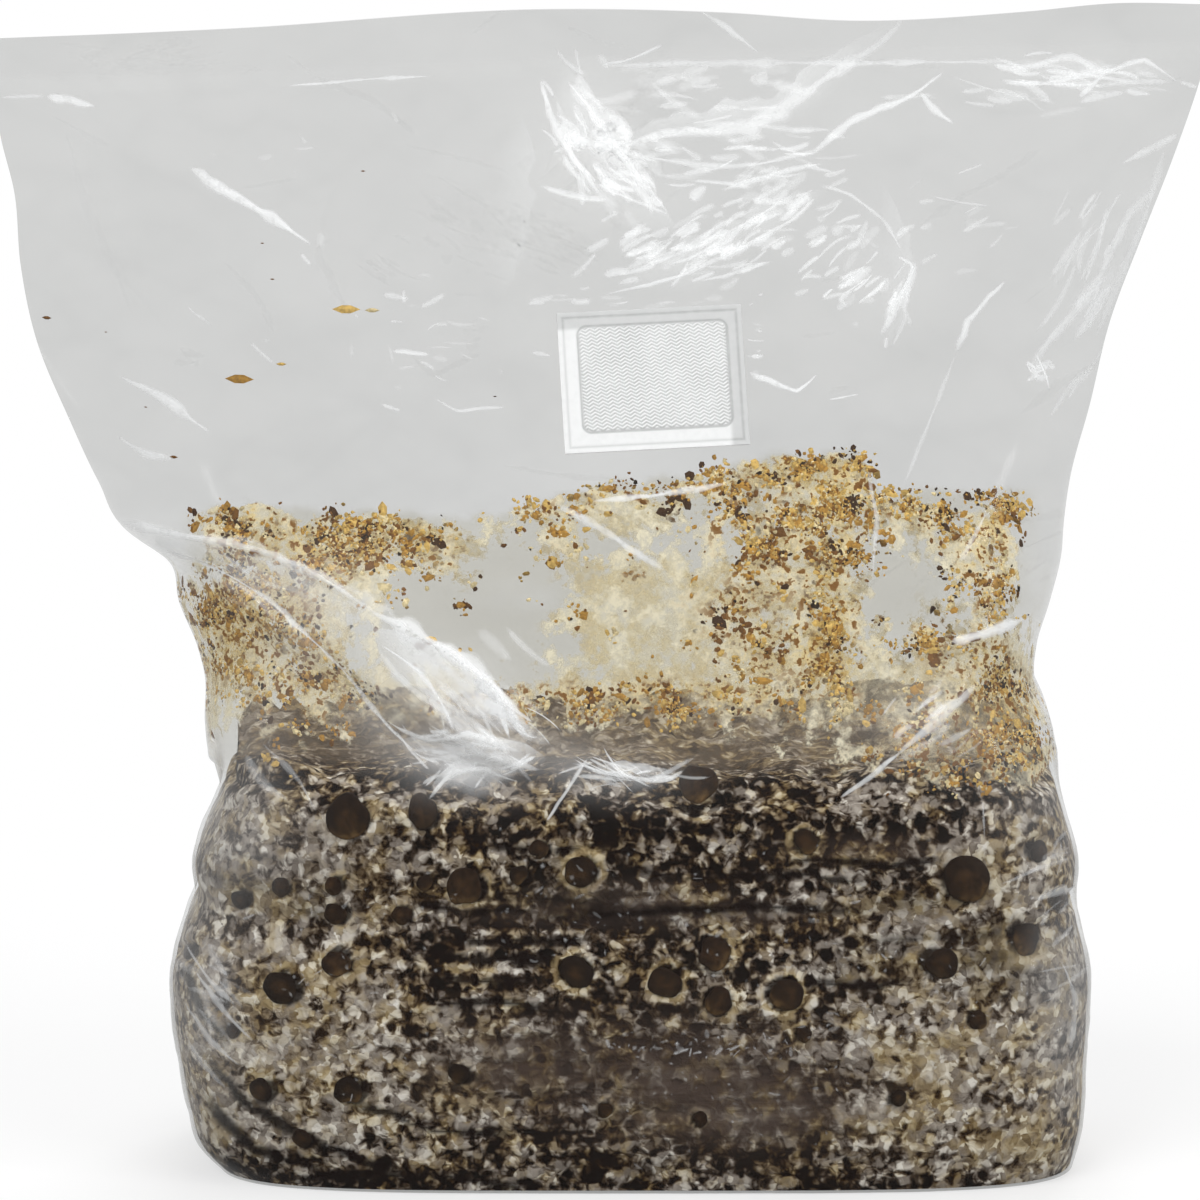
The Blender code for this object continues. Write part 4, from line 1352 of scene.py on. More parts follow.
def film_panel(name, panel, mesh, material_used):
    """One panel of film, and its grid: its points, directions and places in the picture."""
    rows_low, rows_high, columns = mesh
    low = np.linspace(FILM_FOOT, BLOCK_HEIGHT, rows_low, endpoint=False)
    high = np.linspace(BLOCK_HEIGHT, WELD_HEIGHT, rows_high, endpoint=False)
    skirt = np.linspace(WELD_HEIGHT, WELD_HEIGHT + SKIRT_HEIGHT, SKIRT_ROWS)
    points = panel_grid(np.concatenate([low, high, skirt]), columns, panel)
    u, v = picture(points)
    if panel > 0:
        u, v = BACK_MIRROR - u, v + BACK_RAISE
    crumple = np.clip(blobs(u, v, CRUMPLED), 0, 1)
    if panel < 0:
        away, _ = off_patch(points)
        out = film_relief(points, panel, crumple) + crease_relief(u, v)
        out = out * smoothstep(*PATCH_FREES, away)
    else:
        out = film_relief(points, panel, 0.5 * crumple) + 0.5 * crease_relief(u, v)
    out = out * np.minimum(from_middle(points) / SIDE_FADE, 1.0)
    points = points + (grid_normals(points) * -panel) * out[..., None]
    faces = grid_faces(*u.shape, flip=panel > 0)
    obj = make_mesh(name, points, faces, material_used)
    attribute(obj, "haze_and_sheen", film_haze_and_sheen(points, u, v, panel))
    attribute(obj, "shade", film_shade(u, v))
    seen_u, seen_v = picture(points)
    grid = {"points": points, "normals": grid_normals(points) * -panel, "panel": panel}
    grid.update({"u": u, "v": v, "seen_u": seen_u, "seen_v": seen_v})
    return obj, grid


def between(values, row, column):
    """Values of a grid read between its rows and columns."""
    i = np.clip(row.astype(int), 0, values.shape[0] - 2)
    j = np.clip(column.astype(int), 0, values.shape[1] - 2)
    s, t = row - i, column - j
    if values.ndim == 3:
        s, t = s[:, None], t[:, None]
    low = values[i, j] * (1 - t) + values[i, j + 1] * t
    high = values[i + 1, j] * (1 - t) + values[i + 1, j + 1] * t
    return low * (1 - s) + high * s


def nearest_cells(grid, u, v):
    """The row and column of the coarse grid point that is nearest to each place."""
    coarse_u, coarse_v = grid["u"][::COARSE, ::COARSE], grid["v"][::COARSE, ::COARSE]
    row, column = np.zeros(u.shape), np.zeros(u.shape)
    for first in range(0, u.size, AT_ONCE):
        part = slice(first, first + AT_ONCE)
        across = (coarse_u.ravel()[None] - u[part, None]) ** 2
        gap = across + (coarse_v.ravel()[None] - v[part, None]) ** 2
        nearest = np.argmin(gap, axis=1)
        row[part] = nearest // coarse_u.shape[1] * float(COARSE)
        column[part] = nearest % coarse_u.shape[1] * float(COARSE)
    return row, column


def on_film(grid, u, v, lift):
    """Points lifted off a panel's film at places in the picture, and which places missed it."""
    rows, columns = grid["u"].shape
    row, column = nearest_cells(grid, u, v)
    for _ in range(SEARCH_STEPS):
        row, column = np.clip(row, 0, rows - 1.001), np.clip(column, 0, columns - 1.001)
        du, dv = u - between(grid["u"], row, column), v - between(grid["v"], row, column)
        slopes = []
        for label in ("u", "v"):
            values = grid[label]
            slopes.append(between(values, row + 0.5, column) - between(values, row - 0.5, column))
            slopes.append(between(values, row, column + 0.5) - between(values, row, column - 0.5))
        u_r, u_c, v_r, v_c = slopes
        size = u_r * v_c - u_c * v_r
        size = np.where(np.abs(size) < 0.5, np.sign(size) * 0.5 + (size == 0) * 0.5, size)
        row = row + np.clip((du * v_c - dv * u_c) / size, -8, 8)
        column = column + np.clip((dv * u_r - du * v_r) / size, -8, 8)
    row, column = np.clip(row, 0, rows - 1.001), np.clip(column, 0, columns - 1.001)
    off = np.hypot(u - between(grid["u"], row, column), v - between(grid["v"], row, column))
    normal = between(grid["normals"], row, column)
    return between(grid["points"], row, column) + normal * lift, off > FILM_MISS


def smooth_line(line, step):
    """A line of points as an even smooth curve, between its straight and its rounded shape."""
    points = np.array(line, dtype=float)
    lengths = np.concatenate([[0], np.cumsum(np.hypot(*np.diff(points, axis=0).T))])
    places = np.linspace(0, lengths[-1], max(int(lengths[-1] / step), 4) + 1)
    straight = np.stack([np.interp(places, lengths, points[:, k]) for k in (0, 1)], axis=1)
    rows = np.column_stack([lengths, points])
    curved = np.stack([along(rows, k, places) for k in (1, 2)], axis=1)
    return 0.5 * (straight + curved)


def stroke_lines(strokes, rng):
    """The short strokes of painted highlight in crumpled places and glints over the block: each one's line,
    width and whiteness.
    """
    lines = []
    for cu, cv, ru, rv, slope, spread, count, length, width, strength in strokes:
        for _ in range(count):
            middle = np.array([cu + ru * rng.normal() * 0.6, cv + rv * rng.normal() * 0.6])
            angle = math.radians(slope + spread * rng.normal())
            half = 0.5 * length * math.exp(0.35 * rng.normal())
            bend = rng.normal() * 0.12 * half
            share = np.linspace(-1, 1, 3 if half < 5 else 7)[:, None]
            ahead = np.array([math.cos(angle), math.sin(angle)])
            aside = np.array([-ahead[1], ahead[0]])
            line = middle + share * half * ahead + (share**2) * bend * aside
            wide = width * rng.uniform(0.5, 1.3)
            lines.append((line, wide, min(strength * rng.uniform(0.4, 1.3), 1.0)))
    return lines


def ribbon(line, width, strength, n, seed):
    """One crease's painted highlight: places in rows of five along its line, and how white each is."""
    wide = width > WIDE_CREASE
    across, shade = CRISP_SIDE if wide else EVEN_SIDES
    direction = np.gradient(line, axis=0)
    direction /= np.maximum(np.linalg.norm(direction, axis=1, keepdims=True), 1e-6)
    aside = np.stack([-direction[:, 1], direction[:, 0]], axis=1)
    travel = np.linspace(0, 1, len(line))
    taper = np.clip(4 * travel * (1 - travel), 0, 1) ** (0.9 if wide else 0.45)
    steps, own = travel * len(line), travel * 0 + n
    swell = 0.35 + 1.1 * value_noise(steps / 7 + n * 3.7, own, seed + 1)
    left = 0.6 + 0.8 * value_noise(steps / 3, own, seed + 2)
    right = 0.6 + 0.8 * value_noise(steps / 3, own, seed + 3)
    fade = 0.70 + 0.30 * value_noise(steps / 5 + 9, own, seed + 4)
    if wide:
        swell, left, right = 0.55 + 0.45 * swell, 0.5 + 0.5 * left, 0.5 + 0.5 * right
    reach = np.where(across[None] < 0, left[:, None], right[:, None]) * across[None]
    reach = reach * (width * 0.65 * taper * swell)[:, None]
    places = (line[:, None] + aside[:, None] * reach[..., None]).reshape(-1, 2)
    white = strength * shade[None] * (fade * np.minimum(taper * 1.3, 1))[:, None]
    return places, white.ravel()


def build_crease_highlights(name, grid, creases, strokes, material_used, seed):
    """Narrow ribbons on the film that paint white highlights: the long creases and the short strokes of
    crumpled places.
    """
    lines = [(smooth_line(line, CREASE_STEP), width, white) for width, white, _, line in creases]
    lines += stroke_lines(strokes, np.random.default_rng(seed))
    places, whites, faces, base = [], [], [], 0
    for n, (line, width, strength) in enumerate(lines):
        spots, white = ribbon(line, width, strength, n, seed)
        places.append(spots)
        whites.append(white)
        faces.append(grid_faces(len(line), RIBBON_ROWS) + base)
        base += len(spots)
    places, faces = np.concatenate(places), np.concatenate(faces)
    points, missed = on_film(grid, places[:, 0], places[:, 1], CREASE_LIFT)
    used, numbers = np.unique(faces[~missed[faces].any(axis=1)], return_inverse=True)
    obj = make_mesh(name, points[used], numbers.reshape(-1, 4), material_used)
    attribute(obj, "crease", np.concatenate(whites)[used])
    return obj


def residue_edge(u, v):
    """How high the residue reaches at a place across the picture."""
    edge = np.interp(u, *zip(*RESIDUE_EDGE))
    return edge + 16 * (rough_noise(u / 16, v * 0, 31) - 0.5)


def residue_marks(u, v, front):
    """What the residue's material reads at places in the picture: stain, richness and veil."""
    moved_u = u + 40 * (rough_noise(u / 50, v / 50, 41) - 0.5)
    moved_v = v + 40 * (rough_noise(u / 50, v / 50, 43) - 0.5)
    opened, thick = (1.0, 1.0) if front else (0.4, 0.6)
    stain = blobs(moved_u, moved_v, STAIN) - opened * blobs(moved_u, moved_v, CLEAR)
    low_edge = v + 20 * (rough_noise(u / 30, v / 30, 35) - 0.5)
    zone = smoothstep(-3, 6, v - residue_edge(u, v))
    stain = np.clip(stain, 0, 0.92) * (1 - 0.9 * smoothstep(*STAIN_FADES, low_edge)) * zone * thick
    veil = zone * (1 - smoothstep(*VEIL_FADES, v)) * (0.6 + 0.8 * rough_noise(u / 60, v / 40, 45))
    right_edge = VEIL_RIGHT - u + 40 * (rough_noise(u / 30, v / 30, 49) - 0.5)
    veil = veil * smoothstep(0, 30, u - VEIL_LEFT) * smoothstep(0, 70, right_edge)
    rich = np.clip(blobs(moved_u, moved_v, CRUMBS), 0, 1) * (0.3 + 1.0 * rough_noise(u / 24, v / 24, 37))
    return {"stain": stain, "rich": rich, "veil": veil}


def build_residue(name, grid, material_used):
    """The thin residue on the film's inner face, just behind it."""
    u, v = grid["seen_u"], grid["seen_v"]
    rows = np.where((v.min(axis=1) < RESIDUE_END) & (v.max(axis=1) > RESIDUE_TOP))[0]
    part = slice(rows[0], rows[-1] + 1)
    points = grid["points"][part] - grid["normals"][part] * RESIDUE_DEPTH
    marks = residue_marks(u[part], v[part], grid["panel"] < 0)
    faces = grid_faces(*points.shape[:2], flip=grid["panel"] > 0)
    seen = ((marks["stain"] > 0.02) | (marks["veil"] > 0.02)).ravel()[faces].any(axis=1)
    used, numbers = np.unique(faces[seen], return_inverse=True)
    obj = make_mesh(name, points.reshape(-1, 3)[used], numbers.reshape(-1, 4), material_used)
    for label, values in marks.items():
        attribute(obj, label, values.ravel()[used])
    return obj


def sheet(lines, rows):
    """Points in rows from a front line to a back line, and each row's share of the way."""
    front, back = lines
    share = np.linspace(0, 1, rows)[:, None]
    return front[None] * (1 - share[..., None]) + back[None] * share[..., None], share


def halves(ring):
    """A ring's front line and back line, both from left to right."""
    half = len(ring) // 2
    return ring[: half + 1], np.concatenate([ring[half:], ring[:1]])[::-1]


def film_bottom(material_used):
    """The flat bottom that the bag stands on."""
    lines = [panel_grid([FILM_FOOT], BOTTOM_COLUMNS, panel)[0] for panel in (-1, 1)]
    points, share = sheet(lines, BOTTOM_ROWS)
    inside = np.minimum(share, 1 - share) * 2
    crinkle = ridges(points[..., 0] * 60, points[..., 1] * 60, 5) * BOTTOM_CRINKLE
    points[..., 2] += crinkle * np.minimum(inside * 6, 1)
    obj = make_mesh("film_bottom", points, grid_faces(*points.shape[:2], flip=True), material_used)
    for name, value in (("haze_and_sheen", 0.08), ("shade", 0.5)):
        attribute(obj, name, np.full(points.shape[:2], value))
    return obj


def block_points(heights, columns):
    """The block's face all round, in columns from the left edge by the front and the rear."""
    inset = FILM_WALL + CLEARANCE
    front = panel_grid(heights, columns, -1, inset)
    back = panel_grid(heights, columns, 1, inset)[:, ::-1]
    return np.concatenate([front[:, :-1], back[:, :-1]], axis=1)


def kernel_marks(u, v, front):
    """At the front's kernels: the dishes in the face, the pale rims, and the painted shade round their
    edges.
    """
    dish, halo, bed = np.zeros_like(u), np.zeros_like(u), np.zeros_like(u)
    for px, py, diameter, rim in KERNELS:
        radius = diameter / (2 * MILLIMETRES) / PIXEL * 1.02
        wobble = 1 + 0.5 * (rough_noise(u / 12 + px, v / 12, 13) - 0.5)
        distance = np.hypot(u - px, v - py) / radius * wobble
        dish = np.maximum(dish, np.where(front, 1 - smoothstep(1.05, 1.6, distance), 0))
        bed = np.maximum(bed, np.where(front, 1 - smoothstep(0.92, 1.08, distance), 0))
        ring = smoothstep(1.0, 1.15, distance) * (1 - smoothstep(1.15, 1.7, distance))
        side = np.arctan2(v - py, u - px) / math.pi * 2
        ring = ring * (0.15 + rim) * (0.35 + 1.1 * value_noise(side + px, side * 0 + py, 15))
        halo = np.maximum(halo, np.where(front, ring, 0))
    return dish, halo, bed


def crease_shade_marks(u, v, front):
    """The painted shade in the creases of the front of the block, and the pale lines beside them."""
    bent_v = v + 8 * (rough_noise(u / 24, v / 24, 87) - 0.5)
    dark, pale = np.zeros_like(u), np.zeros_like(u)
    for width, line in SHADED_CREASES:
        distance, travel = to_line(u, bent_v, line)
        ends = line_ends(travel, 0.2, 0.8)
        swell = 0.4 + 1.0 * value_noise(u / 14, v * 0 + width, 89)
        mark = ends * (1 - smoothstep(0.3, 1.0, distance / (width * 1.2 * swell)))
        dark = np.maximum(dark, np.where(front, 0.95 * mark, 0))
        beside, _ = to_line(u, bent_v + 1.9 * width, line)
        mark = ends * (1 - smoothstep(0.3, 1.0, beside / width))
        pale = np.maximum(pale, np.where(front, mark, 0))
    return dark, pale


def sunken(points, s, heights, dish):
    """The face's points moved inward: lumps, folds, dishes, and a rounded and sunken top."""
    z = points[..., 2] * MILLIMETRES
    rise = (heights / BLOCK_HEIGHT)[:, None]
    lumps = rough_noise(s / 7, z / 7, 21) * 0.6 + rough_noise(s / 22, z / 15, 25) * 0.9
    folded = ridges(s / 60, z / 6.5, 29, 2)
    depth = FACE_INSET + LUMP_DEPTH * lumps + FOLD_DEPTH * (folded - 0.5)
    depth = depth * (1 - 0.85 * smoothstep(*CALM_SIDES, np.abs(points[..., 0] - BLOCK_OFFSET)))
    depth = depth * smoothstep(0, 7, z)
    depth = depth * (1 - dish) + KERNEL_DISH * dish
    inward = np.array([BLOCK_OFFSET, 0, 0]) - points * np.array([1, 1, 0])
    inward /= np.linalg.norm(inward, axis=2, keepdims=True)
    round_top = ROUND_TOP * smoothstep(0.92, 1.0, rise) ** 2
    moved = points + inward * (np.maximum(depth, 0) + round_top)[..., None]
    sunk = smoothstep(0.86, 1.0, rise) * rough_noise(s / 16, z * 0 + 2, 59, 3)
    moved[..., 2] -= SUNK_TOP * sunk
    return moved


def block_sides():
    """The block's face all round: its points, and what its material reads there."""
    heights = np.linspace(FILM_WALL + CLEARANCE, BLOCK_HEIGHT - SHOULDER_DROP, BLOCK_ROWS)
    points = block_points(heights, BLOCK_COLUMNS)
    z = points[..., 2] * MILLIMETRES
    around = np.arange(points.shape[1]) / points.shape[1] * 2 * math.pi
    s = around[None] * GIRTH_RADIUS + 0 * z
    u, v = picture(points)
    front = points[..., 1] < 0
    dish, halo, bed = kernel_marks(u, v, front)
    points = sunken(points, s, heights, dish)
    mottle = rough_noise(s / 30, z / 26, 33)
    on_front = 0.48 + blobs(u, v, MYCELIUM) - blobs(u, v, BARE) + 0.30 * (mottle - 0.5)
    elsewhere = 0.46 + 0.7 * (mottle - 0.5)
    share = smoothstep(*FRONT_ENDS, points[..., 1])
    on_front = share * on_front + (1 - share) * np.maximum(on_front, elsewhere)
    cover = np.clip(np.where(front, on_front, elsewhere), 0.05, 0.8)
    # Fine horizontal folds in two bands across the front, painted dark as the shade in them
    streak = ridges(s / 55, z / 5.2, 29, 2) * smoothstep(0.42, 0.7, rough_noise(s / 45, z / 22, 39))
    band = np.exp(-(((v - 925) / 95) ** 2)) + np.exp(-(((v - 1165) / 30) ** 2))
    streak = np.clip(streak * band * 0.9, 0, 0.8) * np.where(front, 1.0, 0.5)
    crease, pale = crease_shade_marks(u, v, front)
    # All that is dark here is painted shade: in the creases and folds, and round the kernels' edges
    dark = np.maximum(streak, crease) * (1 - np.clip(halo, 0, 1))
    dark = np.maximum(dark, 0.9 * bed)
    tan = np.where(front, 0.34 * np.clip(blobs(u, v, TAN), 0, 1), 0.1 * mottle)
    cover = np.clip(cover + 0.24 * pale * (1 - dark), 0.05, 0.85)
    calm = np.where(front, np.clip(blobs(u, v, CALM), 0, 1), 0)
    marks = {"mycelium": cover, "painted_shade": dark, "halo": np.maximum(halo, tan), "calm": calm}
    return points, marks


def block_top(ring):
    """The block's mounded top: its points, and what its material reads there."""
    points, share = sheet(halves(ring), BLOCK_TOP_ROWS)
    x, y = points[..., 0] * MILLIMETRES, points[..., 1] * MILLIMETRES
    mound = rough_noise(x / 12, y / 12, 51)
    fine = rough_noise(x / 5, y / 5, 55, 2)
    inside = np.minimum(share, 1 - share) * 2
    far = smoothstep(0.35, 0.75, share)
    height = 0.001 + (0.006 + 0.010 * far) * mound + 0.0012 * fine
    points[..., 2] += smoothstep(0, 0.14, inside) * height
    mottle = rough_noise(points[..., 0] * 40, points[..., 1] * 40, 57)
    cover = 0.30 + 0.10 * far + 0.4 * (mottle - 0.5)
    dusty = smoothstep(0.02, 0.40, share + 0.3 * (mound - 0.5))
    marks = {"mycelium": cover, "painted_shade": 0.0 * dusty, "halo": 0.4 * dusty, "calm": 0.55 * dusty}
    return points, marks


def build_block(material_used):
    """The block: its face all round, its top and its bottom, joined in one mesh."""
    sides, side_marks = block_sides()
    top, top_marks = block_top(sides[-1])
    bottom, _ = sheet(halves(sides[0]), 3)
    rows, count = sides.shape[:2]
    top_start = rows * count
    bottom_start = top_start + top.shape[0] * top.shape[1]
    faces = [
        ring_faces(rows, count),
        grid_faces(*top.shape[:2]) + top_start,
        grid_faces(*bottom.shape[:2], flip=True) + bottom_start,
    ]
    points = np.concatenate([part.reshape(-1, 3) for part in (sides, top, bottom)])
    obj = make_mesh("substrate_face", points, np.concatenate(faces), material_used)
    for name, values in side_marks.items():
        below = np.full(bottom.shape[:2], 0.5 if name == "mycelium" else 0.0)
        parts = (values, top_marks[name], below)
        attribute(obj, name, np.concatenate([part.ravel() for part in parts]))
    return obj


def tangents(outward):
    """For directions outward, the directions to the side and up along the surface."""
    side = np.cross(outward, [0.0, 0.0, 1.0])
    side /= np.linalg.norm(side, axis=-1, keepdims=True)
    return side, np.cross(side, outward)


def kernel_places(rng):
    """Each kernel's place, direction outward and diameter: the front's, then the back's."""
    heights = np.linspace(KERNEL_LOW, BLOCK_HEIGHT, KERNEL_ROWS)
    places = []
    for panel in (-1, 1):
        points = panel_grid(heights, KERNEL_COLUMNS, panel, FILM_WALL + 2 * CLEARANCE)
        normals = grid_normals(points) * -panel
        if panel < 0:
            u, v = picture(points)
            for px, py, diameter, _ in KERNELS:
                at = np.unravel_index(np.argmin((u - px) ** 2 + (v - py) ** 2), u.shape)
                places.append((points[at], normals[at], diameter / MILLIMETRES))
        else:
            for _ in range(BACK_KERNELS):
                at = rng.integers(8, 92), rng.integers(24, 216)
                places.append((points[at], normals[at], rng.uniform(5, 10.5) / MILLIMETRES))
    return places


def kernel(centre, outward, diameter, n, rng):
    """One kernel: the points of its rings, from the middle outward, and their tones, with a painted
    highlight on one side.
    """
    side, up = tangents(outward)
    radius = diameter / 2 * KERNEL_SIZE
    theta = np.linspace(0, 2 * math.pi, KERNEL_AROUND, endpoint=False)
    uneven = 1 + 0.08 * np.cos(theta + rng.uniform(0, 6.3))
    uneven = uneven + 0.06 * np.cos(2 * theta + rng.uniform(0, 6.3))
    bumps = value_noise(np.cos(theta) * 1.6 + 9, np.sin(theta) * 1.6 + n * 5.3, 71)
    uneven = uneven + 0.34 * (bumps - 0.5)
    brown = KERNEL_BROWN * rng.uniform(0.5, 1.5)
    light = KERNEL_LIT_SIDE * rng.uniform(0.15, 1.0)
    lit = rng.uniform(-2.6, -0.5)
    radii = KERNEL_RADII[:, None, None]
    reach = radius * radii * uneven[None, :, None]
    lift = KERNEL_DOME[:, None, None] * min(radius * 0.45, KERNEL_RISE)
    points = centre + side * reach * np.cos(theta)[:, None] + up * reach * np.sin(theta)[:, None]
    # One side of each kernel is painted lighter, a painted highlight where light falls on its rounded side
    glow = 0.8 * np.maximum(0, np.cos(theta - lit))[:, None] ** 2 * smoothstep(0.35, 0.95, radii)
    tones = brown * (1 - glow) + light * glow + KERNEL_CROWN * smoothstep(0.75, 0.2, radii)
    return points + outward * lift, tones * rng.uniform(0.8, 1.2, (*reach.shape[:2], 1))


def build_kernels(material_used):
    """Dark kernels in shallow dishes of the block's face, as one joined mesh."""
    rng = np.random.default_rng(5)
    places = kernel_places(rng)
    shapes = [kernel(*place, n, rng) for n, place in enumerate(places)]
    points, tones = (np.array(values).reshape(-1, 3) for values in zip(*shapes))
    rings = ring_faces(len(KERNEL_RADII), KERNEL_AROUND)[:, [0, 3, 2, 1]]
    starts = np.arange(len(places)) * len(KERNEL_RADII) * KERNEL_AROUND
    faces = (starts[:, None, None] + rings[None]).reshape(-1, 4)
    obj = make_mesh("kernels", points, faces, material_used)
    colour_attribute(obj, "tone", tones)
    return obj


def crumb_density(grid):
    """How thickly the crumbs lie at each point of the film."""
    u, v = grid["seen_u"], grid["seen_v"]
    density = np.clip(blobs(u, v, CRUMBS), 0, 1.3) ** 1.3
    density = density * (0.12 + 1.8 * smoothstep(0.48, 0.66, rough_noise(u / 16, v / 16, 83)))
    density = density * (1 - 0.85 * np.clip(blobs(u, v, CLEAR), 0, 1))
    density = density * smoothstep(-4, 3, v - residue_edge(u, v)) * (1 - smoothstep(*CRUMBS_FADE, v))
    if grid["panel"] < 0:
        density = density * smoothstep(*CRUMBS_RIGHT, u)
    density[:, :3] = 0
    density[:, -3:] = 0
    return density


def crumb_clumps(grid, clumps, rng):
    """The crumbs: each one's place in the picture, size and tone, in clumps of like tones."""
    density = crumb_density(grid)
    centres = rng.choice(density.size, size=clumps, p=density.ravel() / density.sum())
    crumbs = []
    for cu, cv in zip(grid["u"].ravel()[centres], grid["v"].ravel()[centres]):
        count = 1 + int(rng.exponential(5.5))
        spread = 3.0 + 0.9 * math.sqrt(count)
        family = rng.choice(len(CRUMB_TONES), p=CRUMB_SHARES)
        for _ in range(count):
            place = (cu + spread * rng.normal(), cv + spread * 0.8 * rng.normal())
            size = min(CRUMB_SIZE * math.exp(rng.normal(0.12, 0.5)), CRUMB_LARGEST)
            own = family if rng.random() < 0.7 else rng.choice(len(CRUMB_TONES), p=CRUMB_SHARES)
            crumbs.append((place, size, np.array(CRUMB_TONES[own]) * rng.uniform(0.75, 1.2)))
    return crumbs


def crumb_rims(size, lone, rng):
    """Each crumb's rim to the side and upward from its middle, and the shade of its corners."""
    draws = rng.random((len(size), 2 + 2 * CRUMB_SIDES))
    stretch = np.where(lone, SPECK_STRETCH, 1.0 + 0.9 * draws[:, 0])[:, None]
    turn = np.where(lone, 0.0, math.pi * draws[:, 1])[:, None]
    speck = np.where(np.arange(CRUMB_SIDES) % 3 == 0, 1.0, 0.62)
    reach = size[:, None] * np.where(lone[:, None], speck[None], 0.65 + 0.5 * draws[:, 2::2])
    angle = np.linspace(0, 2 * math.pi, CRUMB_SIDES, endpoint=False)[None]
    p, q = np.cos(angle) * reach * stretch, np.sin(angle) * reach
    across = p * np.cos(turn) - q * np.sin(turn)
    upward = p * np.sin(turn) + q * np.cos(turn)
    return across[..., None], upward[..., None], 0.7 + 0.4 * draws[:, 3::2, None]


def build_crumbs(name, grid, material_used, clumps):
    """Crumbs of substrate that stick in clumps to the film's inner face, as one joined mesh."""
    rng = np.random.default_rng(17 + grid["panel"])
    crumbs = crumb_clumps(grid, clumps, rng)
    specks = SPECKS if grid["panel"] < 0 else []
    for pu, pv, half, tone in specks:
        crumbs.append(((pu, pv), half / SPECK_SCALE, np.array(CRUMB_TONES[tone])))
    places, size, tone = (np.array(values) for values in zip(*crumbs))
    on, _ = on_film(grid, places[:, 0], places[:, 1], 0.0)
    behind, _ = on_film(grid, places[:, 0], places[:, 1], -0.001)
    outward = on - behind
    outward /= np.linalg.norm(outward, axis=1, keepdims=True)
    side, up = tangents(outward)
    lone = np.arange(len(size)) >= len(size) - len(specks)
    across, upward, shade = crumb_rims(size, lone, rng)
    thick = np.minimum(size * 0.42, CRUMB_THICK)[:, None]
    centre = on - outward * (CRUMB_GAP + thick)
    rim = centre[:, None] + side[:, None] * across + up[:, None] * upward
    ends = np.stack([centre + outward * thick, centre - outward * thick], axis=1)
    # Each crumb's face against the film is painted lighter and its face towards the block darker: painted
    # light and shade on one tone
    colours = np.concatenate([tone[:, None] * shade, tone[:, None] * 1.1, tone[:, None] * 0.6], axis=1)
    m = np.arange(CRUMB_SIDES)
    k = (m + 1) % CRUMB_SIDES
    fan = np.stack([m, k, m * 0 + CRUMB_SIDES, k, m, m * 0 + CRUMB_SIDES + 1], axis=1).reshape(-1, 3)
    starts = np.arange(len(size)) * (CRUMB_SIDES + 2)
    faces = (starts[:, None, None] + fan[None]).reshape(-1, 3)
    points = np.concatenate([rim, ends], axis=1)
    obj = make_mesh(name, points, faces, material_used, smooth=False)
    colour_attribute(obj, "tone", colours.reshape(-1, 3))
    return obj


def build_patch(material_used):
    """The filter patch: a welded border, a groove, and a field pressed with rows of zigzags."""
    centre, right, up, outward = PATCH
    half_width, half_height = PATCH_WIDTH / 2, PATCH_HEIGHT / 2
    s, t = np.meshgrid(
        np.linspace(-half_width, half_width, PATCH_COLUMNS),
        np.linspace(-half_height, half_height, PATCH_ROWS),
    )
    points = centre + s[..., None] * right + t[..., None] * up
    s, t = s * MILLIMETRES, t * MILLIMETRES
    half_s = (half_width - PATCH_BORDER) * MILLIMETRES
    half_t = (half_height - PATCH_BORDER) * MILLIMETRES
    corner = 2.2
    beside = np.maximum(np.abs(s - 0.5) - (half_s - corner), 0)
    beyond = np.maximum(np.abs(t - 0.6) - (half_t - corner), 0)
    field = corner - np.hypot(beside, beyond)
    pitch_s, pitch_t = 2.6, 0.95
    zigzag = np.abs(((s + 0.12 * t) / pitch_s) % 1.0 - 0.5) * 2
    emboss = 0.5 + 0.5 * np.sin(2 * math.pi * (t + zigzag * 0.8) / pitch_t)
    in_field = smoothstep(0.1, 0.5, field)
    groove = np.exp(-(((field + 0.15) / 0.28) ** 2))
    edge = np.minimum(half_width * MILLIMETRES - np.abs(s), half_height * MILLIMETRES - np.abs(t))
    weld = np.exp(-(((edge - 1.5) / 0.35) ** 2))
    lift = 0.40 + 0.10 * in_field * (emboss - 0.5) * 2 + 0.35 * in_field - 0.18 * groove - 0.10 * weld
    lift = lift + 0.25 * (rough_noise(s / 14, t / 14, 101) - 0.5)
    points = points + outward * (CLEARANCE + lift / MILLIMETRES)[..., None]
    faces = grid_faces(PATCH_ROWS, PATCH_COLUMNS)
    obj = make_mesh("filter_membrane_sheet", points, faces, material_used)
    # The right and top borders are painted darker, as painted shade, in the same grey as the pressed lines
    shaded = smoothstep(half_s - 0.5, half_s + 1, s) + smoothstep(half_t - 0.5, half_t + 1, t)
    deep = 0.75 + 0.5 * rough_noise(s / 6, t / 6, 103)
    pressed_and_shaded = 0.95 * in_field * (1 - emboss) * deep + groove * 0.8 + weld * 0.4 + 0.14 * (1 - in_field)
    attribute(obj, "pressed_and_shaded", np.clip(pressed_and_shaded + 0.55 * np.clip(shaded, 0, 1), 0, 1))
    thick = obj.modifiers.new("membrane", "SOLIDIFY")
    thick.thickness = MEMBRANE_THICK
    thick.offset = -1
    return obj


# Studio


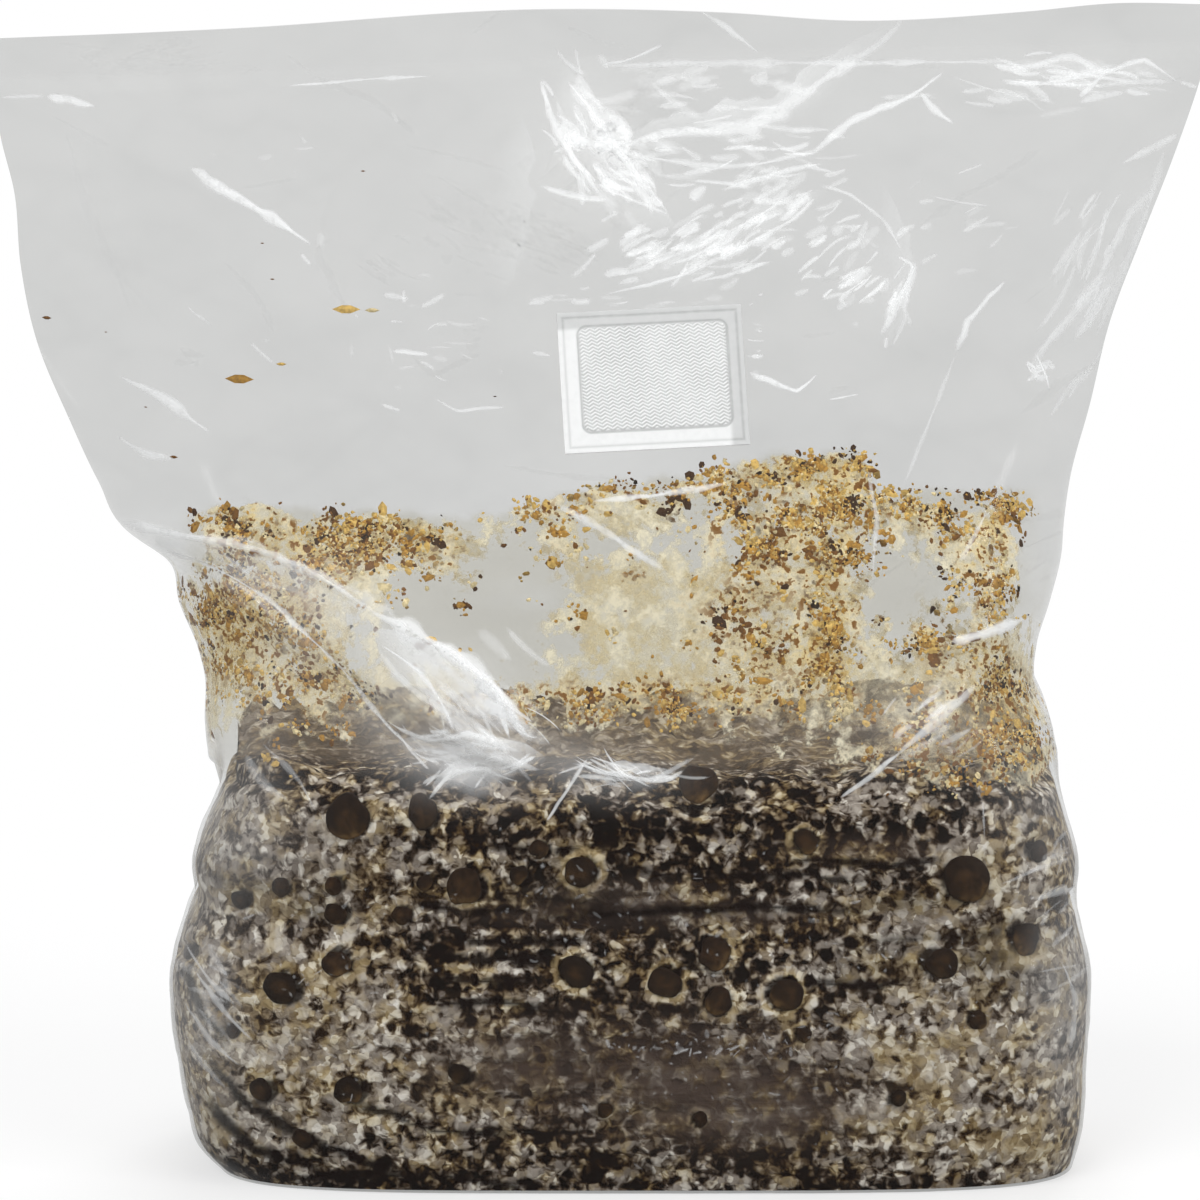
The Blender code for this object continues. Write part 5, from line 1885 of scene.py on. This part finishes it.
def light(name, size, power, place, size_y=None, glossy=True):
    """A flat lamp aimed at the bag's middle."""
    lamp = bpy.data.lights.new(name, "AREA")
    lamp.energy = power
    lamp.size = size
    if size_y:
        lamp.shape = "RECTANGLE"
        lamp.size_y = size_y
    obj = bpy.data.objects.new(name, lamp)
    bpy.context.scene.collection.objects.link(obj)
    obj.visible_glossy = glossy
    obj.location = place
    obj.rotation_euler = (LAMP_AIM - Vector(place)).to_track_quat("-Z", "Y").to_euler()


def seen_rays(tree):
    """1 for the rays that see the backdrop: the camera's, and those of gloss and glass."""
    path = node(tree, "ShaderNodeLightPath").outputs
    glossy = maths(tree, "MAXIMUM", path["Is Glossy Ray"], path["Is Transmission Ray"])
    return maths(tree, "MAXIMUM", path["Is Camera Ray"], glossy)


def floor_material():
    """White where it is seen, with the object's soft shadow near it, and grey as a surface."""
    made, tree = material("pale_floor")
    matt = coloured(tree, "Diffuse", FLOOR_GREY)
    plain, dimmer = (
        node(tree, "ShaderNodeEmission", {"Color": (*WHITE, 1.0), "Strength": strength}).outputs[0]
        for strength in (1.0, 0.61)
    )
    shadowed = node(tree, "ShaderNodeAddShader", {0: dimmer, 1: matt}).outputs[0]
    links = {0: object_place(tree)}
    away = node(tree, "ShaderNodeVectorMath", links, operation="LENGTH").outputs["Value"]
    shown = mix_shader(tree, ramp(tree, away, 0.2, 0.5), shadowed, plain)
    finish_material(tree, mix_shader(tree, seen_rays(tree), matt, shown))
    return made


def add_camera():
    """The camera that sees the bag as the photograph does."""
    camera = bpy.data.cameras.new("camera")
    camera.sensor_width = SENSOR
    camera.lens = SENSOR * DISTANCE / VIEW_WIDTH
    obj = bpy.data.objects.new("camera", camera)
    bpy.context.scene.collection.objects.link(obj)
    up = LOOK_HEIGHT + DISTANCE * math.sin(ELEVATION)
    obj.location = (0, -DISTANCE * math.cos(ELEVATION), up)
    obj.rotation_euler = (math.pi / 2 - ELEVATION, 0, 0)
    bpy.context.scene.camera = obj
    bpy.context.scene.view_settings.view_transform = "Standard"


def add_world():
    """A white backdrop that gives only a little light of its own."""
    world = bpy.data.worlds.new("studio")
    bpy.context.scene.world = world
    world.use_nodes = True
    tree = world.node_tree
    tree.nodes.clear()
    plain, soft = (
        node(tree, "ShaderNodeBackground", {"Color": (*colour, 1.0), "Strength": strength}).outputs[0]
        for colour, strength in ((WHITE, 1.0), (SKY, 0.22))
    )
    both = mix_shader(tree, seen_rays(tree), soft, plain)
    finish_material(tree, both, "ShaderNodeOutputWorld")


def add_floor():
    """The floor that the bag stands on, for the pictures only."""
    mesh = bpy.data.meshes.new("floor")
    r = FLOOR_REACH
    mesh.from_pydata([(-r, -r, 0), (r, -r, 0), (r, r, 0), (-r, r, 0)], [], [(0, 1, 2, 3)])
    mesh.materials.append(floor_material())
    floor = bpy.data.objects.new("floor", mesh)
    bpy.context.scene.collection.objects.link(floor)
    floor.location.z = FLOOR_HEIGHT


def add_lights():
    light("key", 1.2, 27, (-0.9, -1.6, 1.6), glossy=False)
    light("fill", 1.4, 17, (1.5, -1.3, 0.9), glossy=False)
    light("top", 1.0, 8, (0.1, 0.2, 1.9), glossy=False)
    light("back", 1.2, 26, (0.3, 1.8, 1.1), glossy=False)
    light("strip_left", 0.05, 2.5, (-1.5, -0.9, 1.2), size_y=0.9)
    light("strip_right", 0.05, 2.5, (1.5, -0.8, 0.8), size_y=0.8)


def main():
    add_camera()
    add_world()
    add_floor()
    add_lights()
    film, crumb, residue, white = film_material(), crumb_material(), residue_material(), crease_highlight_material()
    front, front_grid = film_panel("film_front", -1, FRONT_MESH, film)
    back, back_grid = film_panel("film_back", 1, BACK_MESH, film)
    # Among the sheets: ribbons that paint white highlights along the creases and crumpled places
    sheets = [
        front,
        back,
        film_bottom(film),
        build_crease_highlights("crease_highlights_front", front_grid, CREASES_AND_HIGHLIGHTS, HIGHLIGHT_STROKES, white, 7),
        build_crease_highlights("crease_highlights_back", back_grid, CREASES_AND_HIGHLIGHTS[1::2], HIGHLIGHT_STROKES[::3], white, 8),
    ]
    residues = [
        build_residue("residue_front", front_grid, residue),
        build_residue("residue_back", back_grid, residue),
    ]
    crumbs = [
        build_crumbs("crumbs_front", front_grid, crumb, 1240),
        build_crumbs("crumbs_back", back_grid, crumb, 260),
    ]
    block = [build_block(block_material()), build_kernels(kernel_material())]
    patch = build_patch(patch_material())
    for obj in (*sheets, *residues, *crumbs):
        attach(obj, "root")
        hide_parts("bag_film")
    for obj in (*sheets, *residues):
        obj.visible_shadow = False
        obj.visible_diffuse = False
    for obj in block:
        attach(obj, "root")
        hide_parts("substrate_block")
    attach(patch, "root")
    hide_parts("filter_patch")


main()
